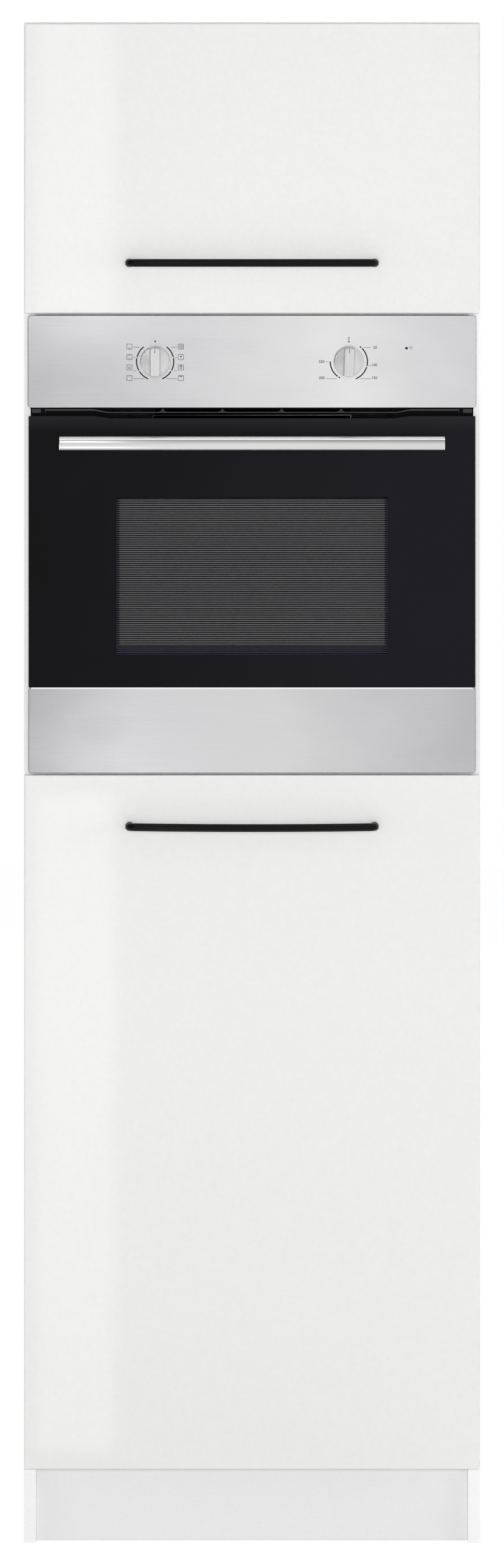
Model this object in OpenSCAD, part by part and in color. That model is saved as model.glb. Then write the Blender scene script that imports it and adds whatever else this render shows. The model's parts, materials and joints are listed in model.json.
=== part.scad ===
// Tall oven housing unit with a built-in oven between two cupboards.
// Millimetres. X to the right, Y from the front to the wall, Z up.
// The origin is on the floor, in the middle of the unit's footprint.

/* [Unit] */
// Overall width
unit_w = 600; // [590:5:660]
// Overall height
unit_h = 2000; // [1990:10:2150]
// Depth of the boards behind the doors
carcass_d = 550; // [550:5:620]
// Thickness of the boards
board_t = 16; // [15:0.5:18]
// Height of the plinth space
plinth_h = 100; // [80:5:140]
// How far the plinth stands back from the front
plinth_recess = 8; // [4:1:60]
// Space under the plinth
plinth_lift = 1.5; // [1:0.5:5]
// Height of the board that carries the oven, to its upper face
oven_seat_z = 1014; // [1000:1:1040]
// Clear height of the oven niche
niche_h = 601; // [598:1:620]
// Thickness of the back boards
back_t = 3; // [2.5:0.5:4]
// Depth of the grooves for the back boards
groove_d = 8; // [5:1:9]
// Space between the back boards and the wall
back_space = 12; // [10:1:20]
// Clearance of a back board in its grooves
groove_play = 0.2; // [0.1:0.1:0.5]
// Height of the rail behind the oven niche
rail_h = 100; // [60:10:140]

/* [Loose shelves] */
// How far a loose shelf stands back from the front
shelf_setback = 20; // [15:5:40]
// Space at each end of a loose shelf
shelf_end_gap = 1; // [0.5:0.5:2]
// Number of shelves in the lower cupboard
lower_shelves = 2; // [2:1:2]
// Spacing of the shelf pin holes
pin_pitch = 32; // [25:1:40]
// Diameter of the shelf pins
pin_d = 5; // [4:0.5:6]
// Depth of a shelf pin hole
pin_hole = 10; // [8:1:12]
// Distance of the pin rows from the front and back edges
pin_inset = 37; // [34:1:60]

/* [Doors] */
// Thickness of the doors
door_t = 18; // [17:0.5:19]
// Space between a door and the boards behind it
door_back_gap = 2; // [2:0.25:3]
// Space between a door's edge and the outside of the unit
door_side_gap = 2; // [1:0.5:3]
// Space between a door's end and the edge of the board that it covers
door_end_gap = 2.5; // [2:0.5:4]
// Radius of the doors' edges
door_edge_r = 2; // [1.5:0.25:2.5]
// Diameter and thickness of the clear buffers on the doors
buffer_d = 8; // [6:1:10]
buffer_t = 1.6; // [1:0.1:1.7]

/* [Cupboard hinges] */
// Diameter of the hinge cup
cup_d = 35; // [35:1:36]
// Depth of the hinge cup
cup_depth = 13.5; // [13:0.25:14]
// Wall of the hinge cup
cup_wall = 0.8; // [0.6:0.1:0.8]
// Wood left between the cup and the door's edge
cup_edge = 3; // [2.5:0.5:3]
// Distance of the hinge pin from the door's edge
hinge_pin_in = 7; // [7:0.25:7.5]
// Depth of the hinge pin behind the door's back face
hinge_pin_depth = 10; // [9.5:0.25:10]
// Diameter of the hinge pin
hinge_pin_d = 2.4; // [2:0.1:2.4]
// Play of the hinge pin in its eye
hinge_play = 0.1; // [0.05:0.05:0.15]
// Space between the hinge pin and the near face of the arm
arm_reach = 11.2; // [11:0.1:11.6]
// Thickness of the arm's steel
arm_t = 2; // [1.5:0.1:2]
// Width of the arm where it enters the cup
arm_w = 9; // [7:1:9]
// Distance of the hinges from the ends of the upper and of the lower door
upper_hinge_end = 60; // [55:5:110]
lower_hinge_end = 100; // [80:5:140]
// Spacing of the two screws of a mounting plate
plate_pitch = 32; // [32:1:36]
// Length and width of a mounting plate's saddle
plate_l = 42; // [38:1:46]
plate_w = 12; // [10:1:14]
// Width of a mounting plate's wings
wing_w = 16; // [12:1:18]
// Height of the arm's channel above the mounting plate
arm_h = 9; // [7:1:11]
// Distance of the arm's two screws from the middle of the plate
arm_screw_y = 12; // [10:1:14]

/* [Cupboard handles] */
// Length of a bow handle
handle_l = 331; // [250:1:400]
// Height of the handle's bar
handle_h = 10; // [9:0.5:14]
// How far the handle's middle stands out from the door
handle_reach = 38; // [34:1:44]
// How far the bar arches out from its ends to its middle
handle_arch = 11; // [6:1:14]
// Depth of the bar and width of the legs
handle_bar = 10; // [9:0.5:12]
// Bevel along the edges of the handle's eight-sided bar
handle_bevel = 2.8; // [1:0.2:3.4]
// Radius of the handle's bends, at the middle of the bar
handle_r = 7; // [6:0.5:9]
// Distance of the handle from the door's end
handle_end = 66; // [50:1:90]
// Diameter of the handle's screws
screw_d = 4; // [3:0.5:5]

/* [Oven front] */
// Space between the oven's front and the sides of the unit
oven_side_gap = 6; // [5:0.5:10]
// How far the front stands out from the boards
front_proud = 21; // [20.5:0.5:23]
// Height of the control panel
panel_h = 121; // [115:1:125]
// Thickness of the control panel's steel
panel_t = 1.2; // [0.8:0.1:1.5]
// Corner radius of the control panel and the door's steel strip
front_r = 4; // [1:0.5:5]
// Height of the air gap above the oven door
vent_h = 11; // [10:0.5:14]
// Thickness of the grille's lip
vent_lip = 2.5; // [2:0.5:3]
// Spacing of the ribs in the grille
vent_pitch = 78; // [60:2:90]

/* [Oven door] */
// Space between the door and the sides of the control panel
door_inset = 1; // [0.5:0.5:2]
// Space below the door
door_foot_gap = 0.6; // [0.5:0.1:1.5]
// Height of the steel strip at the door's foot
strip_h = 112; // [100:1:120]
// Thickness of the door's glass
glass_t = 4; // [3:0.5:4]
// Thickness of sheet steel
sheet_t = 1; // [0.8:0.1:1.2]
// Distance of the window from the sides, the foot and the top of the door
window_side = 115; // [100:1:140]
window_foot = 154.7; // [150:1:160]
window_head = 105.8; // [100:0.1:130]
// Width of the bars of the door's frame
door_bar = 16; // [14:1:16]
// Space between the door's back and the seal
seal_gap = 0.4; // [0.3:0.1:0.8]
// Depth and width of the air cut-out in the glass
air_dip = 3; // [1:0.5:4]
air_w = 370; // [300:10:400]
// Length of one slope of the air cut-out
air_slope = 22; // [10:1:30]
// Distance of the handle bar's ends from the sides of the door
bar_end = 41; // [20:1:80]
// Diameter of the oven's handle bar
bar_d = 20; // [16:1:22]
// Distance from the glass to the middle of the handle bar
bar_reach = 36; // [32:1:44]
// Distance of the handle bar below the door's top
bar_drop = 35; // [28:1:50]
// Diameter of the handle's posts and their distance from the bar's ends
post_d = 13; // [10:1:15]
post_in = 50; // [20:1:70]

/* [Oven hinges] */
// Distance of the hinge arms from the sides of the casing
oven_hinge_in = 16; // [14:1:20]
// Height of the hinge pins above the door's foot
oven_hinge_z = 9; // [8.5:0.5:9.5]
// Depth of the hinge pins behind the door's front
oven_hinge_y = 7; // [6.5:0.25:7.25]
// Diameter and length of the hinge pins
oven_pin_d = 5; // [4:0.5:5]
oven_pin_l = 20; // [16:1:22]
// Thickness of the hinge arms
oven_arm_t = 4; // [3:0.5:5]
// Clearance around the hinge arms
oven_arm_gap = 1; // [0.8:0.1:1.2]
// Length and height of the carriers of the hinge arms inside the casing
carrier_l = 122; // [100:2:140]
carrier_h = 39; // [34:1:46]

/* [Oven body] */
// Space between the casing and the sides, the top and the wall side of the niche
casing_side = 6; // [3:1:10]
casing_head = 26; // [20:1:40]
casing_rear = 30; // [26:1:40]
// Distance of the cooking space from the sides, the foot, the top and the back
// of the casing
cavity_side = 48; // [46:1:60]
cavity_foot = 86; // [84:1:90]
cavity_head = 144; // [140:1:150]
cavity_rear = 107; // [100:1:120]
// Heights above the casing's foot of the screws that hold the oven
oven_screw_z = [90, 390];
// How far the mouth of the cooking space is set back
mouth_back = 8; // [7:0.5:10]
// Width of the flange round the mouth
mouth_flange = 22; // [20:1:24]
// Thickness of the wool round the cooking space
wool_t = 22; // [18:1:24]
// Width of the door seal
seal_w = 8; // [6:1:10]

/* [Oven fittings] */
// Diameter of the heating elements
element_d = 6.5; // [5:0.5:8]
// Diameter of the fan behind the baffle
fan_d = 150; // [120:5:160]
// Width and height of the fan baffle
baffle_w = 250; // [220:5:260]
baffle_h = 230; // [200:5:240]
// Depth of the fan space behind the baffle
baffle_d = 28; // [24:1:32]
// Diameter of the lamp's glass
lamp_d = 42; // [36:1:46]
// Number of rack levels
rack_levels = 5; // [3:1:6]
// Spacing of the rack levels
rack_pitch = 58; // [48:1:60]
// Height of the lowest rack level above the floor of the cooking space
rack_foot = 28; // [20:1:40]
// Level on which the rack lies, counted from the bottom
rack_on = 2; // [1:1:4]
// Spacing of the rods of the rack
rod_pitch = 21; // [16:1:30]
// Diameter of the rods of the rack and of its frame
rod_d = 3; // [2.5:0.5:4]
rack_frame_d = 6; // [5:0.5:7]
// Space between the rack and the inside of the door
rack_travel = 24; // [20:1:30]

/* [Blower] */
// Length and diameter of the blower's rotor
rotor_l = 240; // [200:10:260]
rotor_d = 56; // [50:2:60]
// Number of blades on the rotor
rotor_blades = 15; // [10:1:20]
// Space between the rotor and its housing
rotor_gap = 11; // [9:1:12]
// Length of the blower's motor
rotor_motor_l = 40; // [30:2:50]
// Height of the duct that leads the air to the front
duct_h = 14; // [10:1:18]
// Distance of the rotor behind the front
blower_in = 210; // [180:5:240]

/* [Controls] */
// Distance of the two knobs from the middle
knob_x = 127; // [110:1:160]
// Height of the knobs above the control panel's lower edge
knob_z = 60.5; // [55:0.5:66]
// Diameter and depth of a knob
knob_d = 39.5; // [34:0.5:44]
knob_t = 23; // [18:1:28]
// Width of the knob's grip
grip_w = 14.5; // [10:0.5:18]
// Thickness of the knob's skirt
skirt_t = 6; // [4:0.5:8]
// Space between knob and control panel
knob_gap = 1.2; // [0.8:0.1:2]
// Diameter of the spindles
spindle_d = 6; // [5:0.5:7]
// Size of the switch bodies behind the panel
switch_w = 42; // [36:1:46]
switch_d = 34; // [30:1:40]
// Place and diameter of the pilot lamp, from the panel's right and lower edges
pilot_in = 91.4; // [80:0.1:110]
pilot_z = 78; // [70:1:90]
pilot_d = 3.4; // [3:0.2:5]

/* [Fasteners] */
// Diameter and depth of the cam locks
cam_d = 15; // [14:0.5:16]
cam_t = 12.5; // [11:0.5:13]
// Distance of a cam from the end of its board
cam_in = 24; // [20:1:34]
// Diameter of the cam bolts
cam_bolt_d = 6; // [5:0.5:7]
// How far a cam bolt reaches into the side board
cam_bolt_in = 10; // [8:1:11]
// Clearance of fittings in their holes
fit = 0.2; // [0.1:0.1:0.3]
// Distance of the wall brackets from the middle
bracket_x = 200; // [150:5:240]
// Width and height of a wall bracket
bracket_w = 40; // [30:2:50]
bracket_h = 56; // [50:2:70]
// Thickness of a wall bracket
bracket_t = 2; // [1.5:0.5:3]
// Diameter of the wall screw hole
wall_hole = 8; // [6:0.5:10]
// Distance of the wall screw hole below the top board
wall_hole_drop = 34; // [30:1:40]

/* [Hidden] */
$fn = 48;
eps = 0.01;
// How far a cut runs past the face that it opens, and the room left under a screw
over = 1;
hole_end = 1;

// Cams and shelves: distances from the front and the back, holes above and below
// a shelf's own, how far a pin stands out and its collar
cam_front = 60;
cam_rear = 50;
shelf_rear = 5;
pin_steps = 2;
pin_out = 9;
pin_collar = 2;
// Screws: of the oven, of the mounting plates, of the arms, and the play in a door
oven_screw_in = 4;
oven_screw_l = 20;
oven_screw_d = 3;
plate_screw_d = 5;
plate_screw_in = 10;
arm_screw_d = 4;
screw_play = 1;
// Corner radius of a slot, as a share of its width
slot_round = 0.48;
// Thickness of a mounting plate's wings, and the wall of the arm's channel
wing_t = 2;
channel_wall = 2;
// Play at the top of the control panel, at the door's frame and at its head
panel_play = 0.4;
door_frame_in = 2;
door_frame_foot = 1.4;
door_frame_head = 1;
// Distance from the door's inner face to the boards' front edges
door_inner_gap = 4;
// Overlap of the door's inner sheet and glass round the window
sheet_lap = 14;
glass_lap = 8;
// Clearance of a turning shaft, and the shaft of the fan
shaft_play = 0.6;
fan_shaft_d = 7.9;
// Margins of the heating elements, the lamp and the rack in the cooking space
grill_in = 50;
bottom_in = 80;
grill_drop = 18;
element_lift = 0.3;
element_tail = 16;
lamp_in = 50;
lamp_neck = 8;
rail_in = 6;
rail_d = 4;
rack_play = 2;
rack_front = 4;
rack_rear = 12;
blower_lift = 8;
// Play of the screws, and of the hinge pin's end in the cup
pin_end_play = 0.1;

// Depths of the whole unit
front_y = (front_proud + bar_reach + bar_d / 2 - carcass_d) / 2;
back_y = front_y + carcass_d;
back_board_y = back_y - back_space - back_t;
// Inside of the carcass
side_in = unit_w / 2 - board_t;
top_z = unit_h - board_t;
niche_z = oven_seat_z + niche_h;
mid_shelf_z = niche_z + board_t;
cupboard_top_z = oven_seat_z - board_t;
cupboard_floor_z = plinth_h + board_t;
plinth_y = front_y + plinth_recess;
fixed_z = [top_z, niche_z, cupboard_top_z, plinth_h];
cam_y = [front_y + cam_front, back_board_y - cam_rear];
pin_rows_y = [front_y + pin_inset, back_board_y - pin_inset];
shelf_back_y = back_board_y - shelf_rear;
upper_shelf_z = (mid_shelf_z + top_z - board_t) / 2;
shelf_step = (cupboard_top_z - cupboard_floor_z + board_t) / (lower_shelves + 1);
lower_shelf_z = [for (k = [1 : lower_shelves])
    cupboard_floor_z - board_t + k * shelf_step];

// Cupboard doors
door_w = unit_w - 2 * door_side_gap;
door_back_y = front_y - door_back_gap;
door_front_y = door_back_y - door_t;
upper_door_z = niche_z + door_end_gap;
upper_door_top = unit_h - door_end_gap;
lower_door_z = plinth_h + door_side_gap / 2;
lower_door_top = oven_seat_z - door_end_gap;
upper_hinges_z = [upper_door_z + upper_hinge_end, upper_door_top - upper_hinge_end];
lower_hinges_z = [lower_door_z + lower_hinge_end, (lower_door_z + lower_door_top) / 2,
    lower_door_top - lower_hinge_end];
hinges_z = concat(upper_hinges_z, lower_hinges_z);
hinge_x = -door_w / 2 + hinge_pin_in;
hinge_y = door_back_y - hinge_pin_depth;
cup_x = cup_edge + cup_d / 2 - hinge_pin_in;
cup_in_r = cup_d / 2 - cup_wall;
hinge_pin_l = 2 * (sqrt(pow(cup_in_r, 2) - pow(cup_x, 2)) - pin_end_play);
plate_t = hinge_x + arm_reach + side_in;
plate_y = pin_inset + front_y - hinge_y;
arm_l = plate_y + plate_l / 2 + 1.5 * channel_wall;
handle_hole = handle_l / 2 - handle_bar / 2;
handle_screw_l = 12;
bend_lap = 5;
bend_inset = 0.1;
upper_handle_z = upper_door_z + handle_end;
lower_handle_z = lower_door_top - handle_end;

// Oven front
oven_w = unit_w - 2 * oven_side_gap;
oven_front_y = front_y - front_proud;
panel_top = niche_z - panel_play;
panel_z = panel_top - panel_h;
oven_door_w = oven_w - 2 * door_inset;
oven_door_z = oven_seat_z + door_foot_gap;
oven_door_top = panel_z - vent_h;
strip_top = oven_door_z + strip_h;
glass_back_y = oven_front_y + glass_t;
frame_t = 1.5;
frame_y = front_y - frame_t;
door_inner_y = front_y - door_inner_gap;
seal_y = door_inner_y + seal_gap;
bar_y = oven_front_y - bar_reach;
bar_z = oven_door_top - bar_drop;
oven_pin_y = oven_front_y + oven_hinge_y;
oven_pin_z = oven_door_z + oven_hinge_z;
window_z = oven_door_z + window_foot;
window_top = oven_door_top - window_head;
window_w = oven_door_w - 2 * window_side;
bar_l = oven_door_w - 2 * bar_end;
post_x = bar_l / 2 - post_in;
pilot_x = oven_w / 2 - pilot_in;

// Oven body
casing_w = 2 * (side_in - casing_side);
casing_top = niche_z - casing_head;
casing_back_y = back_y - casing_rear;
oven_hinge_x = casing_w / 2 - oven_hinge_in;
cavity_w = casing_w - 2 * cavity_side;
cavity_z = oven_seat_z + cavity_foot;
cavity_top = casing_top - cavity_head;
mouth_y = front_y + mouth_back;
cavity_back_y = casing_back_y - cavity_rear;
mouth_w = cavity_w + 2 * mouth_flange;
wool_in = 2;
baffle_y = cavity_back_y - baffle_d;
fan_z = (cavity_z + cavity_top) / 2;
rack_z = cavity_z + rack_foot + (rack_on - 1) * rack_pitch;
rail_x = cavity_w / 2 - rail_in;
rack_w = 2 * (rail_x - rack_play);
rack_y0 = door_inner_y + rack_travel + rack_front;
rack_y1 = baffle_y - rack_rear;
rods = floor((rack_w - rack_frame_d) / rod_pitch / 2) * 2;
lamp_x = cavity_w / 2 - lamp_in;
lamp_z = cavity_top - lamp_in;
grill_w = cavity_w - 2 * grill_in;
grill_z = cavity_top - grill_drop;
bottom_w = cavity_w - 2 * bottom_in;
bottom_z = cavity_z - sheet_t - element_d / 2 - element_lift;
blower_r = rotor_d / 2 + rotor_gap + sheet_t;
blower_foot = cavity_top + wool_t + wool_in;
blower_z = blower_foot + blower_r + blower_lift;
blower_y = front_y + blower_in;
knob_y = oven_front_y - knob_gap;
bracket_z = top_z - bracket_h;

// Helpers

// A board from one corner to the opposite corner
module board(from, to) {
    translate(from) cube(to - from);
}

// A box open towards the front, with walls of one thickness
module open_box(from, to, wall) {
    difference() {
        board(from, to);
        board(from + [wall, -eps, wall], to - [wall, wall, wall]);
    }
}

// A flat ring between two rectangles, standing across the Y axis
module ring(w_out, z_out, w_in, z_in, y0, y1) {
    difference() {
        board([-w_out / 2, y0, z_out[0]], [w_out / 2, y1, z_out[1]]);
        board([-w_in / 2, y0 - over, z_in[0]], [w_in / 2, y1 + over, z_in[1]]);
    }
}

// A rectangle with round corners, centred on the origin
module round_rect(w, h, r) {
    square([w - 2 * r, h], center = true);
    square([w, h - 2 * r], center = true);
    for (sx = [-1, 1], sy = [-1, 1])
        translate([sx * (w / 2 - r), sy * (h / 2 - r)]) circle(r);
}

// A rod along X, Y or Z from a point
module rod_x(p, l, d) { translate(p) rotate([0, 90, 0]) cylinder(h = l, d = d); }
module rod_y(p, l, d) { translate(p) rotate([-90, 0, 0]) cylinder(h = l, d = d); }
module rod_z(p, l, d) { translate(p) cylinder(h = l, d = d); }

// A plate with round corners, standing across the Y axis
module front_plate(w, z0, z1, y0, y1, r) {
    translate([0, y1, (z0 + z1) / 2]) rotate([90, 0, 0])
        linear_extrude(y1 - y0) round_rect(w, z1 - z0, r);
}

module both_sides() {
    children();
    mirror([1, 0, 0]) children();
}

// Holes for one group of shelf pins, in both rows
module pin_holes(z) {
    for (y = pin_rows_y, k = [-pin_steps : pin_steps])
        rod_x([-side_in - pin_hole, y, z + k * pin_pitch], pin_hole + eps, pin_d + fit);
}

module side_board() {
    difference() {
        board([-unit_w / 2, front_y, 0], [-side_in, back_y, unit_h]);
        // grooves for the back boards
        for (span = [[plinth_h, oven_seat_z], [niche_z, unit_h]])
            board([-side_in - groove_d, back_board_y - groove_play, span[0]],
                [-side_in + eps, back_board_y + back_t, span[1] + eps]);
        for (z = concat([upper_shelf_z], lower_shelf_z)) pin_holes(z - pin_d / 2);
        // holes for the bolts that hold the fixed boards
        for (z = fixed_z, y = cam_y)
            rod_x([-side_in - cam_bolt_in, y, z + board_t / 2], cam_bolt_in + eps,
                cam_bolt_d + fit);
        // holes for the screws that hold the oven
        for (z = oven_screw_z)
            rod_y([-side_in - oven_screw_in, front_y - eps, oven_seat_z + z], oven_screw_l,
                oven_screw_d);
    }
}

// Holes for the mounting plates of the hinges, in the left board
module plate_holes() {
    hole_l = plate_screw_in + hole_end;
    for (z = hinges_z, s = [-1, 1])
        rod_x([-side_in - hole_l, hinge_y + plate_y, z + s * plate_pitch / 2], hole_l + eps,
            plate_screw_d + fit);
}

module side_panel_left() {
    color("white") difference() {
        side_board();
        plate_holes();
    }
}

module side_panel_right() {
    color("white") mirror([1, 0, 0]) side_board();
}

// A fixed board between the sides, with its cams let in from below
module fixed_board(z, groove_top, groove_bottom) {
    difference() {
        board([-side_in, front_y, z], [side_in, back_y, z + board_t]);
        if (groove_top)
            board([-side_in - eps, back_board_y - groove_play, z + board_t - groove_d],
                [side_in + eps, back_board_y + back_t, z + board_t + eps]);
        if (groove_bottom)
            board([-side_in - eps, back_board_y - groove_play, z - eps],
                [side_in + eps, back_board_y + back_t, z + groove_d]);
        for (s = [-1, 1], y = cam_y) {
            rod_z([s * (side_in - cam_in), y, z - eps], cam_t + fit, cam_d + fit);
            rod_x([s * (side_in - cam_in / 2) - cam_in / 2, y, z + board_t / 2], cam_in,
                cam_bolt_d + fit);
        }
    }
}

module top_panel() { color("white") fixed_board(top_z, false, true); }
module oven_top_shelf() { color("white") fixed_board(niche_z, true, false); }
module oven_shelf() { color("white") fixed_board(cupboard_top_z, false, true); }
module bottom_panel() { color("white") fixed_board(plinth_h, true, false); }

module back_board(z0, z1) {
    lap = groove_d - hole_end;
    board([-side_in - lap, back_board_y, z0 - lap],
        [side_in + lap, back_board_y + back_t - groove_play, z1 + lap]);
}

module back_panel_upper() {
    screw_room = 6;
    color("whitesmoke") difference() {
        back_board(mid_shelf_z, top_z);
        // ways through for the wall screws
        for (s = [-1, 1])
            rod_y([s * bracket_x, back_board_y - over, top_z - wall_hole_drop],
                back_t + 2 * over, wall_hole + screw_room);
    }
}

module back_panel_lower() {
    color("whitesmoke") back_board(cupboard_floor_z, cupboard_top_z);
}

module rear_rail() {
    color("white") board([-side_in, back_y - board_t, niche_z - rail_h],
        [side_in, back_y, niche_z]);
}

module plinth_panel() {
    color("gainsboro") board([-side_in, plinth_y, plinth_lift],
        [side_in, plinth_y + board_t, plinth_h]);
}

module loose_shelf(z) {
    board([-side_in + shelf_end_gap, front_y + shelf_setback, z],
        [side_in - shelf_end_gap, shelf_back_y, z + board_t]);
}

module upper_shelf() { color("white") loose_shelf(upper_shelf_z); }
module lower_shelf_low() { color("white") loose_shelf(lower_shelf_z[0]); }
module lower_shelf_high() { color("white") loose_shelf(lower_shelf_z[1]); }

// A pin with a collar against the side board
module shelf_pin(z, y) {
    in_l = pin_hole - hole_end;
    rod_x([-side_in - in_l, y, z - pin_d / 2], in_l + pin_out, pin_d);
    rod_x([-side_in, y, z - pin_d / 2], shelf_end_gap - fit, pin_d + pin_collar);
}

module shelf_pins() {
    color("silver") both_sides()
        for (z = concat([upper_shelf_z], lower_shelf_z), y = pin_rows_y)
            shelf_pin(z, y);
}

module cam_locks() {
    play = 0.1;
    notch_in = 3;
    notch_drop = 3.5;
    slot = [10, 1.6, 1.6];
    color("silver") both_sides() for (z = fixed_z, y = cam_y)
        difference() {
            rod_z([-side_in + cam_in, y, z + play], cam_t - play, cam_d);
            // notch round the head of the bolt, and a slot for the driver
            board([-side_in, y - cam_bolt_d / 2 - fit, z + board_t / 2 - notch_drop],
                [-side_in + cam_in + notch_in, y + cam_bolt_d / 2 + fit, z + cam_t + over]);
            board([-side_in + cam_in - slot.x / 2, y - slot.y / 2, z - over],
                [-side_in + cam_in + slot.x / 2, y + slot.y / 2, z + slot.z]);
        }
}

module cam_bolts() {
    shank_out = 10;
    neck_in = 7;
    neck_step = 2;
    in_l = cam_bolt_in - hole_end;
    color("silver") both_sides() for (z = fixed_z, y = cam_y) {
        rod_x([-side_in - in_l, y, z + board_t / 2], in_l + shank_out, cam_bolt_d);
        rod_x([-side_in + neck_in, y, z + board_t / 2], cam_in - neck_in,
            cam_bolt_d - neck_step);
    }
}

module wall_bracket() {
    board_gap = 1;
    difference() {
        union() {
            board([-bracket_w / 2, back_y - bracket_t, bracket_z],
                [bracket_w / 2, back_y, top_z]);
            board([-bracket_w / 2, back_y - back_space + board_gap, top_z - bracket_t],
                [bracket_w / 2, back_y, top_z]);
        }
        rod_y([0, back_y - bracket_t - over, top_z - wall_hole_drop], bracket_t + 2 * over,
            wall_hole);
    }
}

module wall_brackets() {
    color("silver") for (s = [-1, 1]) translate([s * bracket_x, 0, 0]) wall_bracket();
}

module at_hinges(heights) {
    for (z = heights) translate([hinge_x, hinge_y, z]) children();
}

module mounting_plate() {
    difference() {
        union() {
            // saddle under the arm, and the two wings that take the screws
            board([-plate_t, plate_y - plate_l / 2, -plate_w / 2],
                [0, plate_y + plate_l / 2, plate_w / 2]);
            board([-plate_t, plate_y - wing_w / 2, -(plate_pitch + wing_w) / 2],
                [-plate_t + wing_t, plate_y + wing_w / 2, (plate_pitch + wing_w) / 2]);
        }
        for (s = [-1, 1])
            rod_x([-plate_t - over, plate_y, s * plate_pitch / 2], plate_t + 2 * over,
                plate_screw_d + fit);
    }
}

module hinge_plates() {
    color("silver") at_hinges(hinges_z) translate([arm_reach, 0, 0]) mounting_plate();
}

// The arm's crank, seen from above: an eye, a finger and a leg
module arm_crank() {
    eye_wall = 1;
    finger_y = -1.2;
    finger_t = 1.8;
    difference() {
        union() {
            circle(d = hinge_pin_d + 2 * eye_wall);
            translate([0, finger_y]) square([arm_reach + arm_t, finger_t]);
            translate([arm_reach, finger_y])
                square([arm_t, hinge_pin_depth + door_back_gap + 2 * channel_wall]);
        }
        circle(d = hinge_pin_d + 2 * hinge_play);
    }
}

module hinge_arm() {
    inside_y = hinge_pin_depth + door_back_gap + channel_wall;
    channel_top = 1.5;
    half_w = plate_w / 2;
    translate([0, 0, -arm_w / 2]) linear_extrude(arm_w) arm_crank();
    // the channel that lies on the mounting plate
    difference() {
        board([arm_reach, inside_y, -half_w - channel_wall],
            [arm_reach + arm_h, arm_l, half_w + channel_wall]);
        board([arm_reach - over, inside_y + channel_wall, -half_w],
            [arm_reach + arm_h - channel_top, arm_l + over, half_w]);
        for (y = [plate_y - arm_screw_y, plate_y + arm_screw_y])
            rod_x([arm_reach + arm_h - 2 * channel_top, y, 0], 4 * channel_top,
                arm_screw_d + fit);
    }
}

module hinge_arms() {
    color("lightgray") at_hinges(hinges_z) hinge_arm();
}

// Screws of the mounting plates and of the arms
module hinge_screws() {
    plate_head = [1.8, 9];
    arm_head = [1.4, 8];
    color("silver") at_hinges(hinges_z) translate([arm_reach, 0, 0]) {
        for (s = [-1, 1]) {
            rod_x([-plate_t - plate_screw_in, plate_y, s * plate_pitch / 2],
                plate_screw_in + wing_t, plate_screw_d);
            rod_x([-plate_t + wing_t, plate_y, s * plate_pitch / 2], plate_head[0],
                plate_head[1]);
        }
        for (y = [plate_y - arm_screw_y, plate_y + arm_screw_y]) {
            rod_x([0, y, 0], arm_h, arm_screw_d);
            rod_x([arm_h, y, 0], arm_head[0], arm_head[1]);
        }
    }
}

module hinge_cup() {
    ear = [16, 13];
    ear_r = 3;
    ear_t = 1.2;
    ear_out = 5;
    difference() {
        translate([cup_x, hinge_pin_depth, 0]) rotate([90, 0, 0])
            cylinder(h = cup_depth, d = cup_d);
        translate([cup_x, hinge_pin_depth + over, 0]) rotate([90, 0, 0])
            cylinder(h = cup_depth - cup_wall + over, r = cup_in_r);
    }
    // the ears on the back of the door
    for (s = [-1, 1])
        difference() {
            translate([cup_x, hinge_pin_depth + ear_t, s * (cup_d / 2 + ear_out)])
                rotate([90, 0, 0]) linear_extrude(ear_t) round_rect(ear.x, ear.y, ear_r);
            translate([cup_x, hinge_pin_depth + ear_t + over, 0]) rotate([90, 0, 0])
                cylinder(h = ear_t + 2 * over, r = cup_in_r);
        }
    rod_z([0, 0, -hinge_pin_l / 2], hinge_pin_l, hinge_pin_d);
}

module upper_hinge_cups() { color("silver") at_hinges(upper_hinges_z) hinge_cup(); }
module lower_hinge_cups() { color("silver") at_hinges(lower_hinges_z) hinge_cup(); }

// A slab with all its edges rounded, bored for its hinges and its handle
module door_slab(z0, z1, hinges, handle_z) {
    difference() {
        intersection() {
            translate([0, (door_front_y + door_back_y) / 2, z0])
                linear_extrude(z1 - z0) round_rect(door_w, door_t, door_edge_r);
            translate([-door_w / 2, (door_front_y + door_back_y) / 2, (z0 + z1) / 2])
                rotate([90, 0, 90]) linear_extrude(door_w)
                round_rect(door_t, z1 - z0, door_edge_r);
        }
        for (z = hinges)
            translate([hinge_x + cup_x, door_back_y + over, z]) rotate([90, 0, 0])
                cylinder(h = cup_depth + over, d = cup_d);
        for (s = [-1, 1])
            rod_y([s * handle_hole, door_front_y - over, handle_z], door_t + 2 * over,
                screw_d + screw_play);
    }
}

module upper_door() {
    color("white") door_slab(upper_door_z, upper_door_top, upper_hinges_z, upper_handle_z);
}

module lower_door() {
    color("white") door_slab(lower_door_z, lower_door_top, lower_hinges_z, lower_handle_z);
}

// The eight-sided section of a handle's bar
module handle_section(inset = 0) {
    x = handle_bar / 2 - inset;
    y = handle_h / 2 - inset;
    b = handle_bevel;
    polygon([[x - b, -y], [x, b - y], [x, y - b], [x - b, y],
        [b - x, y], [-x, y - b], [-x, b - y], [b - x, -y]]);
}

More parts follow.
